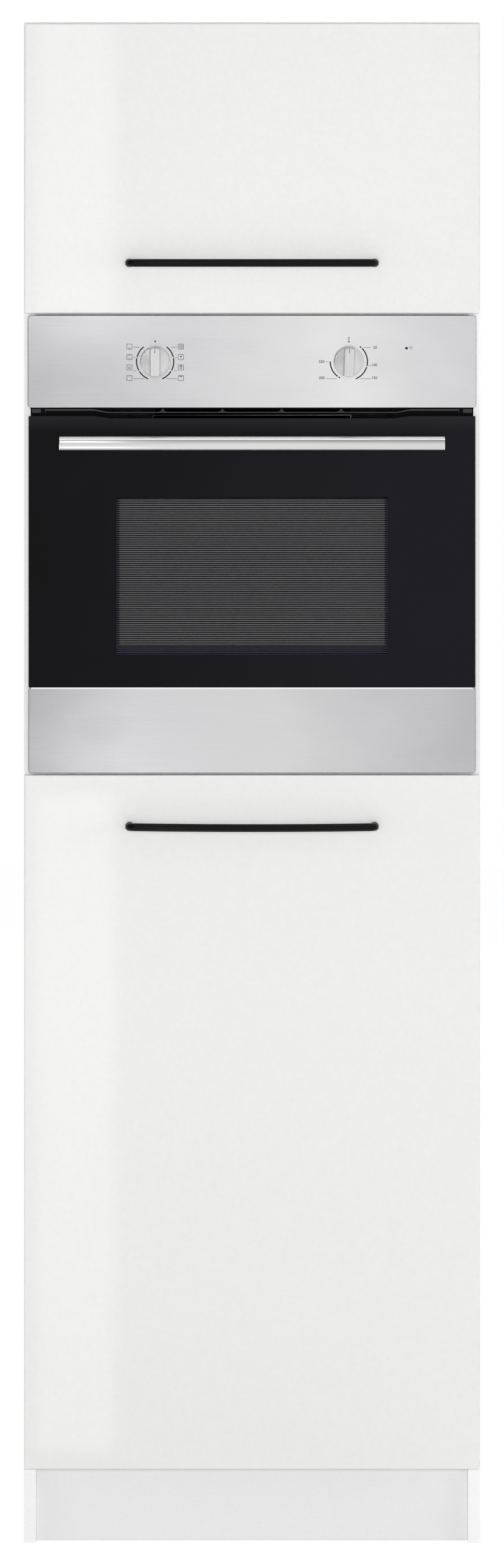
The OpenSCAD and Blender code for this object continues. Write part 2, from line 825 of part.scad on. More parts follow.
// An arched bar, bent back at both ends into legs that stand on the door
module bow_handle(z) {
    arc_steps = 20;
    bend_x = handle_hole - handle_r;
    bend_path_r = (pow(bend_x, 2) + pow(handle_arch, 2)) / (2 * handle_arch);
    half_arc = asin(bend_x / bend_path_r);
    arc_r = bend_path_r + handle_r;
    arc_y = door_front_y - handle_reach + handle_bar / 2 + arc_r;
    bend_y = arc_y - bend_path_r * cos(half_arc);
    difference() {
        translate([0, 0, z]) {
            translate([0, arc_y, 0]) rotate([0, 0, -90 - half_arc])
                rotate_extrude(angle = 2 * half_arc, $fn = arc_steps * $fn)
                translate([arc_r, 0]) handle_section();
            both_sides() {
                // a bend is a little thinner, so that it laps into the bar and the leg
                translate([bend_x, bend_y, 0]) rotate([0, 0, half_arc - 90 - bend_lap])
                    rotate_extrude(angle = 90 - half_arc + 2 * bend_lap)
                    translate([handle_r, 0]) handle_section(bend_inset);
                translate([handle_hole, door_front_y, 0]) rotate([90, 0, 0])
                    linear_extrude(door_front_y - bend_y) handle_section();
            }
        }
        for (s = [-1, 1])
            rod_y([s * handle_hole, door_front_y - handle_screw_l - 2 * hole_end, z],
                handle_screw_l + 2 * hole_end + over, screw_d + fit);
    }
}

module upper_handle() { color("dimgray") bow_handle(upper_handle_z); }
module lower_handle() { color("dimgray") bow_handle(lower_handle_z); }

module handle_screws(z) {
    head_t = 1.6;
    for (s = [-1, 1]) {
        rod_y([s * handle_hole, door_front_y - handle_screw_l, z],
            door_t + handle_screw_l, screw_d);
        rod_y([s * handle_hole, door_back_y, z], head_t, screw_d * 2);
    }
}

module upper_handle_screws() { color("silver") handle_screws(upper_handle_z); }
module lower_handle_screws() { color("silver") handle_screws(lower_handle_z); }

module buffers(z0, z1) {
    end_in = 12;
    for (z = [z0 + end_in, z1 - end_in])
        rod_y([unit_w / 2 - board_t / 2, door_back_y, z], buffer_t, buffer_d);
}

module door_buffers_upper() { color("lightgray") buffers(upper_door_z, upper_door_top); }
module door_buffers_lower() { color("lightgray") buffers(lower_door_z, lower_door_top); }

module oven_casing() {
    slot = [8, 70];
    slots_each = 6;
    slot_pitch = 24;
    slots_in = 120;
    color("silver") difference() {
        board([-casing_w / 2, front_y, oven_seat_z],
            [casing_w / 2, casing_back_y, casing_top]);
        board([-casing_w / 2 + sheet_t, front_y - over, oven_seat_z + sheet_t],
            [casing_w / 2 - sheet_t, casing_back_y + over, casing_top - sheet_t]);
        // air slots in the top, behind the blower
        for (k = [-slots_each : slots_each])
            translate([k * slot_pitch, blower_y + slots_in, casing_top - sheet_t - over])
                linear_extrude(sheet_t + 2 * over) round_rect(slot.x, slot.y, slot_round * slot.x);
    }
}

// Rear sheet with rows of air slots and the opening for the terminals
module oven_rear_cover() {
    back = casing_back_y;
    slot = [6, 40];
    slots_each = 5;
    slot_pitch = 22;
    slots_in = [40, 50];
    slots_z = [casing_top - slots_in[0], oven_seat_z + slots_in[1]];
    box_x = 190;
    box_drop = 150;
    box = [60, 18, 40];
    lead_hole = [25, 9];
    color("silver") difference() {
        front_plate(casing_w, oven_seat_z, casing_top, back, back + sheet_t, front_r);
        for (k = [-slots_each : slots_each], z = slots_z)
            translate([k * slot_pitch, back + sheet_t + over, z]) rotate([90, 0, 0])
                linear_extrude(sheet_t + 2 * over) round_rect(slot.x, slot.y, slot_round * slot.x);
    }
    // the box for the mains terminals, with the hole for their lead
    color("black") translate([box_x, back + sheet_t, casing_top - box_drop]) difference() {
        cube(box);
        rod_z([lead_hole.x, lead_hole.y, -over], box.z / 2, lead_hole.y);
    }
}

module insulation() {
    front_in = 12;
    element_room = 10;
    motor_hole = 66;
    w = cavity_w / 2 + wool_in;
    y0 = mouth_y + front_in;
    y1 = cavity_back_y + wool_in;
    foot = cavity_z - element_room - wool_in;
    color("wheat") difference() {
        board([-w - wool_t, y0, foot - wool_t / 2],
            [w + wool_t, y1 + wool_t, cavity_top + wool_in + wool_t]);
        board([-w, y0 - over, foot], [w, y1, cavity_top + wool_in]);
        rod_y([0, y1 - over, fan_z], wool_t + 2 * over, motor_hole);
        rod_y([lamp_x, y1 - over, lamp_z], wool_t + 2 * over, lamp_d - lamp_neck / 2);
        element_holes(grill_w, grill_z);
        element_holes(bottom_w, bottom_z);
    }
}

// Ways through the back for the two ends of a heating element
module element_holes(w, z) {
    for (s = [-1, 1])
        rod_y([s * w / 2, cavity_back_y - over, z], wool_in + wool_t + 3 * over,
            element_d + shaft_play);
}

module oven_cavity() {
    w = cavity_w / 2;
    color("dimgray") difference() {
        union() {
            board([-w - sheet_t, mouth_y, cavity_z - sheet_t],
                [w + sheet_t, cavity_back_y + sheet_t, cavity_top + sheet_t]);
            board([-mouth_w / 2, mouth_y, cavity_z - mouth_flange],
                [mouth_w / 2, mouth_y + sheet_t, cavity_top + mouth_flange]);
        }
        board([-w, mouth_y - over, cavity_z], [w, cavity_back_y, cavity_top]);
        rod_y([0, cavity_back_y - over, fan_z], sheet_t + 2 * over, 2 * fan_shaft_d);
        rod_y([lamp_x, cavity_back_y - over, lamp_z], sheet_t + 2 * over, lamp_d - lamp_neck);
        element_holes(grill_w, grill_z);
    }
}

// The sheet that closes the niche, with the recess round the mouth
module oven_front_frame() {
    foot_play = 2;
    side_play = 3;
    control_in = [20, 6];
    outlet_in = [8, 1];
    arm_room = 5;
    z0 = oven_seat_z + foot_play;
    z1 = panel_top - over;
    mz = [cavity_z - mouth_flange, cavity_top + mouth_flange];
    color("dimgray") difference() {
        union() {
            board([-oven_w / 2 + side_play, frame_y, z0], [oven_w / 2 - side_play, front_y, z1]);
            board([-mouth_w / 2 - sheet_t, frame_y, mz[0] - sheet_t],
                [mouth_w / 2 + sheet_t, mouth_y, mz[1] + sheet_t]);
        }
        board([-mouth_w / 2, frame_y - over, mz[0]], [mouth_w / 2, mouth_y + over, mz[1]]);
        // control space and air outlet
        board([-casing_w / 2 + control_in.x, frame_y - over, panel_z + control_in.y],
            [casing_w / 2 - control_in.x, front_y + over, casing_top - control_in.y]);
        board([-air_w / 2, frame_y - over, mz[1] + outlet_in.x],
            [air_w / 2, front_y + over, panel_z - outlet_in.y]);
        both_sides() {
            // slots for the hinge arms
            board([oven_hinge_x - oven_arm_t / 2 - oven_arm_gap, frame_y - over,
                oven_pin_z - arm_room], [oven_hinge_x + oven_arm_t / 2 + oven_arm_gap,
                front_y + over, oven_pin_z + arm_room]);
            for (z = oven_screw_z)
                rod_y([side_in + oven_screw_in, frame_y - over, oven_seat_z + z],
                    frame_t + 2 * over, oven_screw_d + shaft_play);
        }
    }
}

// A soft tube laid round the mouth, in a frame with round corners
module door_seal() {
    mouth_lap = 3;
    corner_r = 10;
    inner = [cavity_w + 2 * mouth_lap, cavity_top - cavity_z + 2 * mouth_lap];
    color("dimgray") translate([0, mouth_y, (cavity_z + cavity_top) / 2]) rotate([90, 0, 0])
        linear_extrude(mouth_y - seal_y) difference() {
            round_rect(inner.x + 2 * seal_w, inner.y + 2 * seal_w, corner_r + 0.75 * seal_w);
            round_rect(inner.x, inner.y, corner_r);
        }
}

module control_panel() {
    spindle_room = 4;
    color("lightgray") difference() {
        front_plate(oven_w, panel_z, panel_top, oven_front_y, frame_y, front_r);
        board([-oven_w / 2 + panel_t, oven_front_y + panel_t, panel_z + panel_t],
            [oven_w / 2 - panel_t, frame_y + over, panel_top - panel_t]);
        for (s = [-1, 1])
            rod_y([s * knob_x, oven_front_y - over, panel_z + knob_z], panel_t + 2 * over,
                spindle_d + spindle_room);
        rod_y([pilot_x, oven_front_y - over, panel_z + pilot_z], panel_t + 2 * over,
            pilot_d + fit);
    }
}

// Black outlet with a lip, flared ribs and a sloping end at each side
module vent_grille() {
    side_play = 3;
    lip_in = 5;
    lip_rise = 4;
    roof_t = 1.2;
    roof_in = 4;
    rib_in = 3;
    rib_foot = 6;
    rib_top = 1;
    end_slope = 8;
    end_in = 11;
    half = oven_w / 2 - side_play;
    lip_y = oven_front_y + lip_in;
    lip_z = oven_door_top + lip_rise;
    z0 = lip_z + vent_lip - eps;
    z1 = panel_z - panel_play;
    end_x = air_w / 2 + end_in;
    color("black") {
        board([-half, lip_y, lip_z], [half, frame_y, lip_z + vent_lip]);
        board([-half, lip_y + roof_in, z1 - roof_t], [half, frame_y, z1]);
        for (k = [-1.5 : 1.5])
            translate([k * vent_pitch, frame_y, 0]) rotate([90, 0, 0])
                linear_extrude(frame_y - lip_y - rib_in) polygon([
                    [-rib_foot, z0], [rib_foot, z0], [2 * rib_top, z0 + 2 * rib_top],
                    [rib_top, z1 - rib_top], [-rib_top, z1 - rib_top],
                    [-2 * rib_top, z0 + 2 * rib_top]]);
        both_sides() translate([end_x, frame_y, 0]) rotate([90, 0, 0])
            linear_extrude(frame_y - lip_y - rib_in) polygon([
                [0, z0], [half - end_x, z0], [half - end_x, z1 - rib_top],
                [end_slope, z1 - rib_top]]);
    }
}

module pilot_lamp() {
    proud = 0.6;
    body_l = 14;
    body_step = 4;
    color("orange") {
        rod_y([pilot_x, oven_front_y - proud, panel_z + pilot_z], panel_t + proud + eps,
            pilot_d);
        rod_y([pilot_x, oven_front_y + panel_t, panel_z + pilot_z], body_l,
            pilot_d + body_step);
    }
}

// A switch body behind the panel, with the bush of its spindle
module switch_body(s) {
    bush = [4, 22];
    bush_lap = 1;
    shaft_in = 16;
    y0 = oven_front_y + panel_t;
    z = panel_z + knob_z;
    difference() {
        union() {
            board([s * knob_x - switch_w / 2, y0 + bush[0] - bush_lap, z - switch_w / 2],
                [s * knob_x + switch_w / 2, y0 + switch_d, z + switch_w / 2]);
            rod_y([s * knob_x, y0, z], bush[0], bush[1]);
        }
        rod_y([s * knob_x, y0 - over, z], shaft_in, spindle_d + 2 * fit);
    }
}

module function_switch() { color("ivory") switch_body(-1); }
module thermostat() {
    coil = [10, 16];
    color("ivory") switch_body(1);
    // the sensor's line, coiled at the back of the thermostat
    color("peru") rod_y([knob_x, oven_front_y + panel_t + switch_d, panel_z + knob_z],
        coil[0], coil[1]);
}

// A run of tube along Y joined by half turns
module element_loop(w, y0, y1, z, turns) {
    pitch = w / turns;
    for (k = [0 : turns])
        rod_y([-w / 2 + k * pitch, y0 + pitch / 2, z],
            (k == 0 || k == turns ? cavity_back_y + element_tail : y1 - pitch / 2)
                - y0 - pitch / 2,
            element_d);
    for (k = [0 : turns - 1])
        translate([-w / 2 + (k + 0.5) * pitch, k % 2 == 0 ? y0 + pitch / 2 : y1 - pitch / 2, z])
            rotate([0, 0, k % 2 == 0 ? 180 : 0])
            rotate_extrude(angle = 180) translate([pitch / 2, 0]) circle(d = element_d);
}

module grill_element() {
    front_in = 70;
    rear_in = 40;
    turns = 5;
    color("gray") element_loop(grill_w, mouth_y + front_in, baffle_y - rear_in, grill_z,
        turns);
}

module bottom_element() {
    end_in = 60;
    turns = 3;
    color("gray") element_loop(bottom_w, mouth_y + end_in, cavity_back_y - end_in, bottom_z,
        turns);
}

// A pressed tray in front of the fan, with rings of air holes and side slots
module fan_baffle() {
    corner_r = 20;
    rings = 3;
    ring_step = 17;
    holes_first = 6;
    hole_d = 8;
    slot = [10, 10];
    slot_in = 8;
    slots_each = 3;
    slot_pitch = 24;
    z0 = fan_z - baffle_h / 2;
    z1 = fan_z + baffle_h / 2;
    color("dimgray") difference() {
        front_plate(baffle_w, z0, z1, baffle_y, cavity_back_y, corner_r);
        translate([0, sheet_t, 0]) front_plate(baffle_w - 2 * sheet_t, z0 + sheet_t,
            z1 - sheet_t, baffle_y, cavity_back_y + over, corner_r - sheet_t);
        for (ring = [1 : rings], k = [1 : holes_first * ring]) {
            a = k * 360 / (holes_first * ring);
            rod_y([ring * ring_step * cos(a), baffle_y - over,
                fan_z + ring * ring_step * sin(a)], sheet_t + 2 * over, hole_d);
        }
        for (s = [-1, 1], k = [-slots_each : slots_each])
            board([s * baffle_w / 2 - sheet_t - over, baffle_y + slot_in,
                fan_z + k * slot_pitch - slot.y / 2], [s * baffle_w / 2 + sheet_t + over,
                baffle_y + slot_in + slot.x, fan_z + k * slot_pitch + slot.y / 2]);
    }
}

module convection_fan() {
    disc_t = 1.2;
    hub = [12, 22];
    blade = [30, 10.5, disc_t];
    blade_in = 2;
    blade_turn = 24;
    blades = 12;
    shaft_out = 2;
    shaft_end = 6;
    bore_d = 8;
    hub_y = baffle_y + blade_in + 4 * over;
    shaft_y = hub_y - shaft_out;
    color("silver") difference() {
        union() {
            rod_y([0, hub_y + hub[0] - 2 * over, fan_z], disc_t, fan_d);
            rod_y([0, hub_y, fan_z], hub[0], hub[1]);
            for (k = [1 : blades])
                translate([0, hub_y, fan_z]) rotate([0, k * 360 / blades, 0])
                    translate([fan_d / 2 - blade.x - blade_in, 0, 0])
                    rotate([0, blade_turn, 0]) translate([0, 0, -disc_t / 2]) cube(blade);
        }
        rod_y([0, hub_y - over, fan_z], hub[0] + 2 * over, bore_d);
    }
    // its shaft, out through the back of the cooking space
    color("gray") rod_y([0, shaft_y, fan_z], cavity_back_y + wool_t + shaft_end - shaft_y,
        fan_shaft_d);
}

module fan_motor() {
    foot_l = 120;
    foot = [foot_l, 2, 16];
    can = [44, 62];
    stack = [72, 24, 72];
    stack_in = 10;
    shaft_in = 20;
    y0 = cavity_back_y + wool_in + wool_t;
    color("gray") difference() {
        union() {
            translate([-foot.x / 2, y0, fan_z - foot.z / 2]) cube(foot);
            rod_y([0, y0, fan_z], can[0], can[1]);
            translate([-stack.x / 2, y0 + stack_in, fan_z - stack.z / 2]) cube(stack);
        }
        rod_y([0, y0 - over, fan_z], shaft_in, fan_shaft_d + shaft_play);
    }
}

module oven_lamp() {
    rim_t = 3;
    holder_l = 34;
    holder_play = 1;
    glass_d = lamp_d - lamp_neck;
    color("whitesmoke") {
        rod_y([lamp_x, cavity_back_y - rim_t, lamp_z], rim_t, lamp_d);
        translate([lamp_x, cavity_back_y - rim_t, lamp_z]) intersection() {
            sphere(d = glass_d);
            board([-lamp_d, -lamp_d, -lamp_d], [lamp_d, 0, lamp_d]);
        }
        rod_y([lamp_x, cavity_back_y, lamp_z], holder_l, glass_d - holder_play);
    }
}

// A ladder of rods on each side of the cooking space
module rack_supports() {
    front_in = 26;
    rear_in = 14;
    ends = [20, 16];
    wall_gap = 0.5;
    upper_rod = 14;
    rod_out = 8;
    foot = cavity_z + rack_foot;
    x = cavity_w / 2 - wall_gap - rail_d / 2;
    y0 = mouth_y + front_in;
    y1 = baffle_y - rear_in;
    z0 = foot - ends[0];
    z1 = foot + (rack_levels - 1) * rack_pitch + ends[1];
    color("silver") both_sides() {
        for (y = [y0, (y0 + y1) / 2, y1]) rod_z([x, y, z0], z1 - z0, rail_d);
        for (k = [0 : rack_levels - 1], dz = [0, upper_rod])
            rod_y([rail_x, y0 - rod_out, foot + k * rack_pitch - rail_d / 2 + dz],
                y1 - y0 + 2 * rod_out, rail_d);
    }
}

module wire_rack() {
    x = rack_w / 2;
    z = rack_z + rack_frame_d / 2;
    color("silver") {
        for (y = [rack_y0, rack_y1]) rod_x([-x, y, z], 2 * x, rack_frame_d);
        for (s = [-1, 1]) rod_y([s * x, rack_y0, z], rack_y1 - rack_y0, rack_frame_d);
        for (y = [rack_y0, rack_y1], s = [-1, 1])
            translate([s * x, y, z]) sphere(d = rack_frame_d);
        for (k = [0 : rods - 1])
            rod_y([(k - (rods - 1) / 2) * rod_pitch, rack_y0, z + rod_d / 2], rack_y1 - rack_y0,
                rod_d);
    }
}

module blower_housing() {
    duct_in = 30;
    y0 = front_y + duct_in;
    half = rotor_l / 2 + rotor_gap;
    in = half - sheet_t;
    r = blower_r;
    color("silver") difference() {
        union() {
            board([-half, y0, blower_foot], [half, blower_y, blower_foot + duct_h]);
            rod_x([-half, blower_y, blower_z], 2 * half, 2 * r);
            board([-half, blower_y - r, blower_foot], [half, blower_y + r, blower_z]);
        }
        board([-in, y0 - over, blower_foot + sheet_t],
            [in, blower_y, blower_foot + duct_h - sheet_t]);
        rod_x([-in, blower_y, blower_z], 2 * in, 2 * (r - sheet_t));
        board([-in, blower_y - r + sheet_t, blower_foot + sheet_t],
            [in, blower_y + r - sheet_t, blower_z]);
        // air intake over the rotor
        board([-rotor_l / 2, blower_y - r / 3, blower_z], [rotor_l / 2, blower_y + r / 2,
            blower_z + r + over]);
        rod_x([-half - over, blower_y, blower_z], 2 * (half + over), spindle_d + 2 * fit);
    }
    color("gray") difference() {
        rod_x([half, blower_y, blower_z], rotor_motor_l, rotor_d);
        rod_x([half - over, blower_y, blower_z], rotor_motor_l / 2, spindle_d + 2 * fit);
    }
}

module blower_rotor() {
    end_t = 2;
    blade_w = 8;
    blade_in = 1;
    blade_turn = 30;
    color("silver") {
        for (x = [-rotor_l / 2, -end_t / 2, rotor_l / 2 - end_t])
            rod_x([x, blower_y, blower_z], end_t, rotor_d);
        rod_x([-rotor_l / 2 - rotor_gap + fit, blower_y, blower_z],
            rotor_l + 2 * rotor_gap + rotor_motor_l / 3, spindle_d);
        for (k = [0 : rotor_blades - 1])
            translate([-rotor_l / 2, blower_y, blower_z]) rotate([k * 360 / rotor_blades, 0, 0])
                translate([0, rotor_d / 2 - blade_w - blade_in, 0]) rotate([blade_turn, 0, 0])
                cube([rotor_l, blade_w, sheet_t]);
    }
}

// Drop hinge: an eye round the pin, a neck through the frame and a carrier inside
module oven_hinge_arm() {
    eye_step = 3.4;
    neck_h = 5;
    neck_end = 12;
    carrier_in = 8;
    pin_play = 0.3;
    slot_in = 16;
    slot_h = 12;
    carrier_y = front_y + carrier_in;
    foot = oven_seat_z + sheet_t;
    translate([oven_hinge_x - oven_arm_t / 2, 0, 0]) difference() {
        union() {
            rod_x([0, oven_pin_y, oven_pin_z], oven_arm_t, oven_pin_d + eye_step);
            board([0, oven_pin_y, oven_pin_z - neck_h / 2],
                [oven_arm_t, front_y + neck_end, oven_pin_z + neck_h / 2]);
            board([0, carrier_y, foot], [oven_arm_t, carrier_y + carrier_l, foot + carrier_h]);
            board([-oven_arm_t, carrier_y, foot],
                [2 * oven_arm_t, carrier_y + carrier_l, foot + sheet_t]);
        }
        rod_x([-over, oven_pin_y, oven_pin_z], oven_arm_t + 2 * over, oven_pin_d + pin_play);
        // a long window over the spring
        translate([-over, front_y + neck_end + carrier_l / 2, foot + carrier_h - slot_in])
            rotate([90, 0, 90]) linear_extrude(oven_arm_t + 2 * over)
            round_rect(carrier_l - 2 * slot_in, slot_h, slot_round * slot_h);
    }
}

module oven_hinge_arms() { color("silver") both_sides() oven_hinge_arm(); }

// Glass with the shallow cut-out that lets the cooling air past
module oven_door_glass() {
    w = oven_door_w / 2;
    color("black") difference() {
        translate([0, glass_back_y, 0]) rotate([90, 0, 0]) linear_extrude(glass_t) polygon([
            [-w, strip_top], [w, strip_top], [w, oven_door_top],
            [air_w / 2 + air_slope, oven_door_top], [air_w / 2, oven_door_top - air_dip],
            [-air_w / 2, oven_door_top - air_dip], [-air_w / 2 - air_slope, oven_door_top],
            [-w, oven_door_top]]);
        for (s = [-1, 1])
            rod_y([s * post_x, oven_front_y - over, bar_z], glass_t + 2 * over,
                screw_d + screw_play);
    }
}

module oven_door_frame() {
    arm_room = 5;
    w = oven_door_w / 2 - door_frame_in;
    z0 = oven_door_z + door_frame_foot;
    z1 = oven_door_top - air_dip - door_frame_head;
    y0 = glass_back_y;
    y1 = door_inner_y - sheet_t;
    color("dimgray") difference() {
        ring(2 * w, [z0, z1], 2 * (w - door_bar), [z0 + door_bar, z1 - door_bar], y0, y1);
        both_sides() {
            // notch round each hinge arm, and the bore for its pin
            board([oven_hinge_x - oven_arm_t / 2 - oven_arm_gap, y0 - over, z0 - over],
                [oven_hinge_x + oven_arm_t / 2 + oven_arm_gap, y1 + over,
                oven_pin_z + arm_room]);
            rod_x([oven_hinge_x - oven_pin_l / 2, oven_pin_y, oven_pin_z], oven_pin_l,
                oven_pin_d + eps);
        }
    }
    // pins of the two drop hinges
    color("silver") both_sides()
        rod_x([oven_hinge_x - oven_pin_l / 2, oven_pin_y, oven_pin_z], oven_pin_l, oven_pin_d);
}

// Inner sheet of the door with the inner glass behind its window
module oven_door_back() {
    frame_lap = 4;
    w = oven_door_w / 2 - door_frame_in - door_bar + frame_lap;
    z0 = oven_door_z + door_frame_foot + door_bar - frame_lap;
    z1 = oven_door_top - air_dip - door_frame_head - door_bar + frame_lap;
    y1 = door_inner_y;
    wz = [window_z - sheet_lap, window_top + sheet_lap];
    glass_x = window_w / 2 + sheet_lap + glass_lap;
    color("dimgray") ring(2 * w, [z0, z1], window_w + 2 * sheet_lap, wz, y1 - sheet_t, y1);
    color("slategray") board([-glass_x, y1 - sheet_t - glass_t, wz[0] - glass_lap],
        [glass_x, y1 - sheet_t, wz[1] + glass_lap]);
}

// Folded steel strip at the door's foot
module oven_door_strip() {
    fold = 3;
    color("lightgray") difference() {
        front_plate(oven_door_w, oven_door_z, strip_top, oven_front_y, oven_front_y + fold,
            front_r);
        board([-oven_door_w / 2 + sheet_t, oven_front_y + sheet_t, oven_door_z + sheet_t],
            [oven_door_w / 2 - sheet_t, oven_front_y + fold + over, strip_top - sheet_t]);
    }
}

module oven_handle_bar() {
    color("silver") difference() {
        rod_x([-bar_l / 2, bar_y, bar_z], bar_l, bar_d);
        for (s = [-1, 1]) rod_y([s * post_x, bar_y, bar_z], bar_d, post_d + eps);
    }
}

module oven_handle_posts() {
    head = [2.5, 8.8];
    color("silver") for (s = [-1, 1]) {
        rod_y([s * post_x, bar_y, bar_z], bar_reach, post_d);
        // the screw through the glass, with its head behind
        rod_y([s * post_x, oven_front_y, bar_z], glass_t, screw_d);
        rod_y([s * post_x, glass_back_y, bar_z], head[0], head[1]);
    }
}

// A round skirt with a straight grip across it, and its spindle
module knob(s) {
    grip_step = 0.5;
    line = [1.4, 0.5, 11];
    spindle_in = 12;
    z = panel_z + knob_z;
    translate([s * knob_x, knob_y, z]) {
        difference() {
            union() {
                rotate([90, 0, 0]) cylinder(h = skirt_t, d = knob_d);
                intersection() {
                    rotate([90, 0, 0]) cylinder(h = knob_t, d = knob_d + grip_step);
                    translate([-grip_w / 2, -knob_t, -knob_d / 2 - over])
                        cube([grip_w, knob_t, knob_d + 2 * over]);
                }
            }
            // indicator line
            translate([-line.x / 2, -knob_t - over, knob_d / 2 - line.z])
                cube([line.x, line.y + over, line.z + over]);
        }
        rod_y([0, -eps, 0], knob_gap + panel_t + spindle_in, spindle_d);
    }
}

module function_knob() { color("lightgray") knob(-1); }
module thermostat_knob() { color("lightgray") knob(1); }

side_panel_left();
side_panel_right();
top_panel();
oven_top_shelf();
oven_shelf();
bottom_panel();
back_panel_upper();
back_panel_lower();
rear_rail();
plinth_panel();
upper_shelf();
lower_shelf_low();
lower_shelf_high();
shelf_pins();
cam_locks();
cam_bolts();
wall_brackets();
hinge_plates();
hinge_arms();
hinge_screws();
upper_door();
upper_handle();
upper_handle_screws();
upper_hinge_cups();
lower_door();
lower_handle();
lower_handle_screws();
lower_hinge_cups();
door_buffers_upper();
door_buffers_lower();
oven_casing();
oven_rear_cover();
insulation();
oven_cavity();
oven_front_frame();
door_seal();
control_panel();
vent_grille();
pilot_lamp();
function_switch();
thermostat();
grill_element();
bottom_element();
fan_baffle();
convection_fan();
fan_motor();
oven_lamp();
rack_supports();
wire_rack();
blower_housing();
blower_rotor();
oven_hinge_arms();
oven_door_glass();
oven_door_frame();
oven_door_back();
oven_door_strip();
oven_handle_bar();
oven_handle_posts();
function_knob();
thermostat_knob();
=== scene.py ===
import json
import math

import bmesh
import bpy
from mathutils import Matrix, Vector

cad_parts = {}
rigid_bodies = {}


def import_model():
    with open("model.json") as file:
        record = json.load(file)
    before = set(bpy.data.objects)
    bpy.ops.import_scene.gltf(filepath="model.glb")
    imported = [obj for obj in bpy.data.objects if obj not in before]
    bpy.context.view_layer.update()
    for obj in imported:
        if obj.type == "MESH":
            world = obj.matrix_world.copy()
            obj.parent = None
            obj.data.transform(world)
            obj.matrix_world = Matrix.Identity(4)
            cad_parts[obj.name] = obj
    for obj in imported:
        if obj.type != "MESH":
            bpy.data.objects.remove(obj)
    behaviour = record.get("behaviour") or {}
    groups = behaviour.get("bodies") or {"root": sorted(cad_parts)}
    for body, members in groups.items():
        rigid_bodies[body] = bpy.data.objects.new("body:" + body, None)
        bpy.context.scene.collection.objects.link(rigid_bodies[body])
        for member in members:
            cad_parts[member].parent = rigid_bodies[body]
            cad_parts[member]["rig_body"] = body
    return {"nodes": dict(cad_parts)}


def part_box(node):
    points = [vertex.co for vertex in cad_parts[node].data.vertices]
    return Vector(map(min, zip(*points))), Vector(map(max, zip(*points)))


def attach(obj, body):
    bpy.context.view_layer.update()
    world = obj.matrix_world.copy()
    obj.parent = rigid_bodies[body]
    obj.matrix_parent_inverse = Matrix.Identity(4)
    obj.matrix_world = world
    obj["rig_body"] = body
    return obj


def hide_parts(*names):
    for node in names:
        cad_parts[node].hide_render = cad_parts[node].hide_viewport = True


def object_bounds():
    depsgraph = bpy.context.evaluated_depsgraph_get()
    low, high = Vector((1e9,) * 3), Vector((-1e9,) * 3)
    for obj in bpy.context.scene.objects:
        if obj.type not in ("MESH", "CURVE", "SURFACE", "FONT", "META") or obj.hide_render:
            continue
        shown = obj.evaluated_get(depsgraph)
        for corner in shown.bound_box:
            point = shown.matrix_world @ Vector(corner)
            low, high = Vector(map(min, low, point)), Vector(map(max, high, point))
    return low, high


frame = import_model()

scene = bpy.context.scene
nodes = frame["nodes"]
cadLow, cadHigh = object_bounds()
print("frame loaded:", len(nodes), "nodes")


def mm(*values):
    # millimetres to metres: one number, or a vector
    return values[0] / 1000 if len(values) == 1 else Vector(values) / 1000


# camera, backdrop and light

viewpoint = {
    "height": 1.7,          # above the floor
    "distance": 7.5,        # from the plane between the boards and the fronts
    "frameHeight": 2.0595,  # what the picture takes in at that plane
    "frameCentre": 0.999,
    "planeAhead": 10,
    "sensor": 36,
}

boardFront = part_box("side_panel_left")[0].y


def setCamera(sizes):
    data = bpy.data.cameras.new("studioCamera")
    data.sensor_width = sizes["sensor"]
    data.lens = sizes["sensor"] * sizes["distance"] / sizes["frameHeight"]
    data.shift_y = (sizes["frameCentre"] - sizes["height"]) / sizes["frameHeight"]
    camera = bpy.data.objects.new("studioCamera", data)
    plane = boardFront - mm(sizes["planeAhead"])
    camera.location = (0, plane - sizes["distance"], sizes["height"])
    camera.rotation_euler = (math.radians(90), 0, 0)
    scene.collection.objects.link(camera)
    scene.camera = camera


setCamera(viewpoint)
scene.view_settings.view_transform = "Standard"


def addNode(tree, kind, inputs=None, **settings):
    # a node with its settings, and its inputs linked or filled in
    node = tree.nodes.new(kind)
    for key, value in settings.items():
        setattr(node, key, value)
    for key, value in (inputs or {}).items():
        if isinstance(value, bpy.types.NodeSocket):
            tree.links.new(value, node.inputs[key])
        else:
            node.inputs[key].default_value = value
    return node


def colourRamp(tree, share, *stops):
    node = addNode(tree, "ShaderNodeValToRGB", {"Fac": share})
    marks = node.color_ramp.elements
    while len(marks) < len(stops):
        marks.new(1)
    for mark, (place, colour) in zip(marks, stops):
        mark.position, mark.color = place, colour
    return node.outputs["Color"]


def calc(tree, operation, *values):
    # one step of arithmetic on sockets or numbers
    return addNode(tree, "ShaderNodeMath", dict(enumerate(values)),
                   operation=operation).outputs[0]


def between(tree, share, low, high, start, end):
    # low to high, while share goes from start to end
    node = addNode(tree, "ShaderNodeMapRange", {
        "Value": share, "From Min": start, "From Max": end, "To Min": low, "To Max": high})
    return node.outputs["Result"]


def even(level):
    # the same in each channel, as a shader colour
    return (level, level, level, 1)


def grey(level, tint=(0, 0, 0)):
    # a screen grey of 0 to 255, with an offset for each channel, as a shader colour
    def linear(value):
        share = min(max(value, 0), 255) / 255
        return share / 12.92 if share <= 0.04045 else ((share + 0.055) / 1.055) ** 2.4
    return (*(linear(level + offset) for offset in tint), 1)


def seenDirectly(tree, share=1.0):
    # one for the rays that show the backdrop itself: camera, mirror and glass
    path = addNode(tree, "ShaderNodeLightPath").outputs
    total = path["Is Camera Ray"]
    for ray in ("Is Glossy Ray", "Is Transmission Ray"):
        total = calc(tree, "MAXIMUM", total, path[ray])
    return calc(tree, "MULTIPLY", total, share)


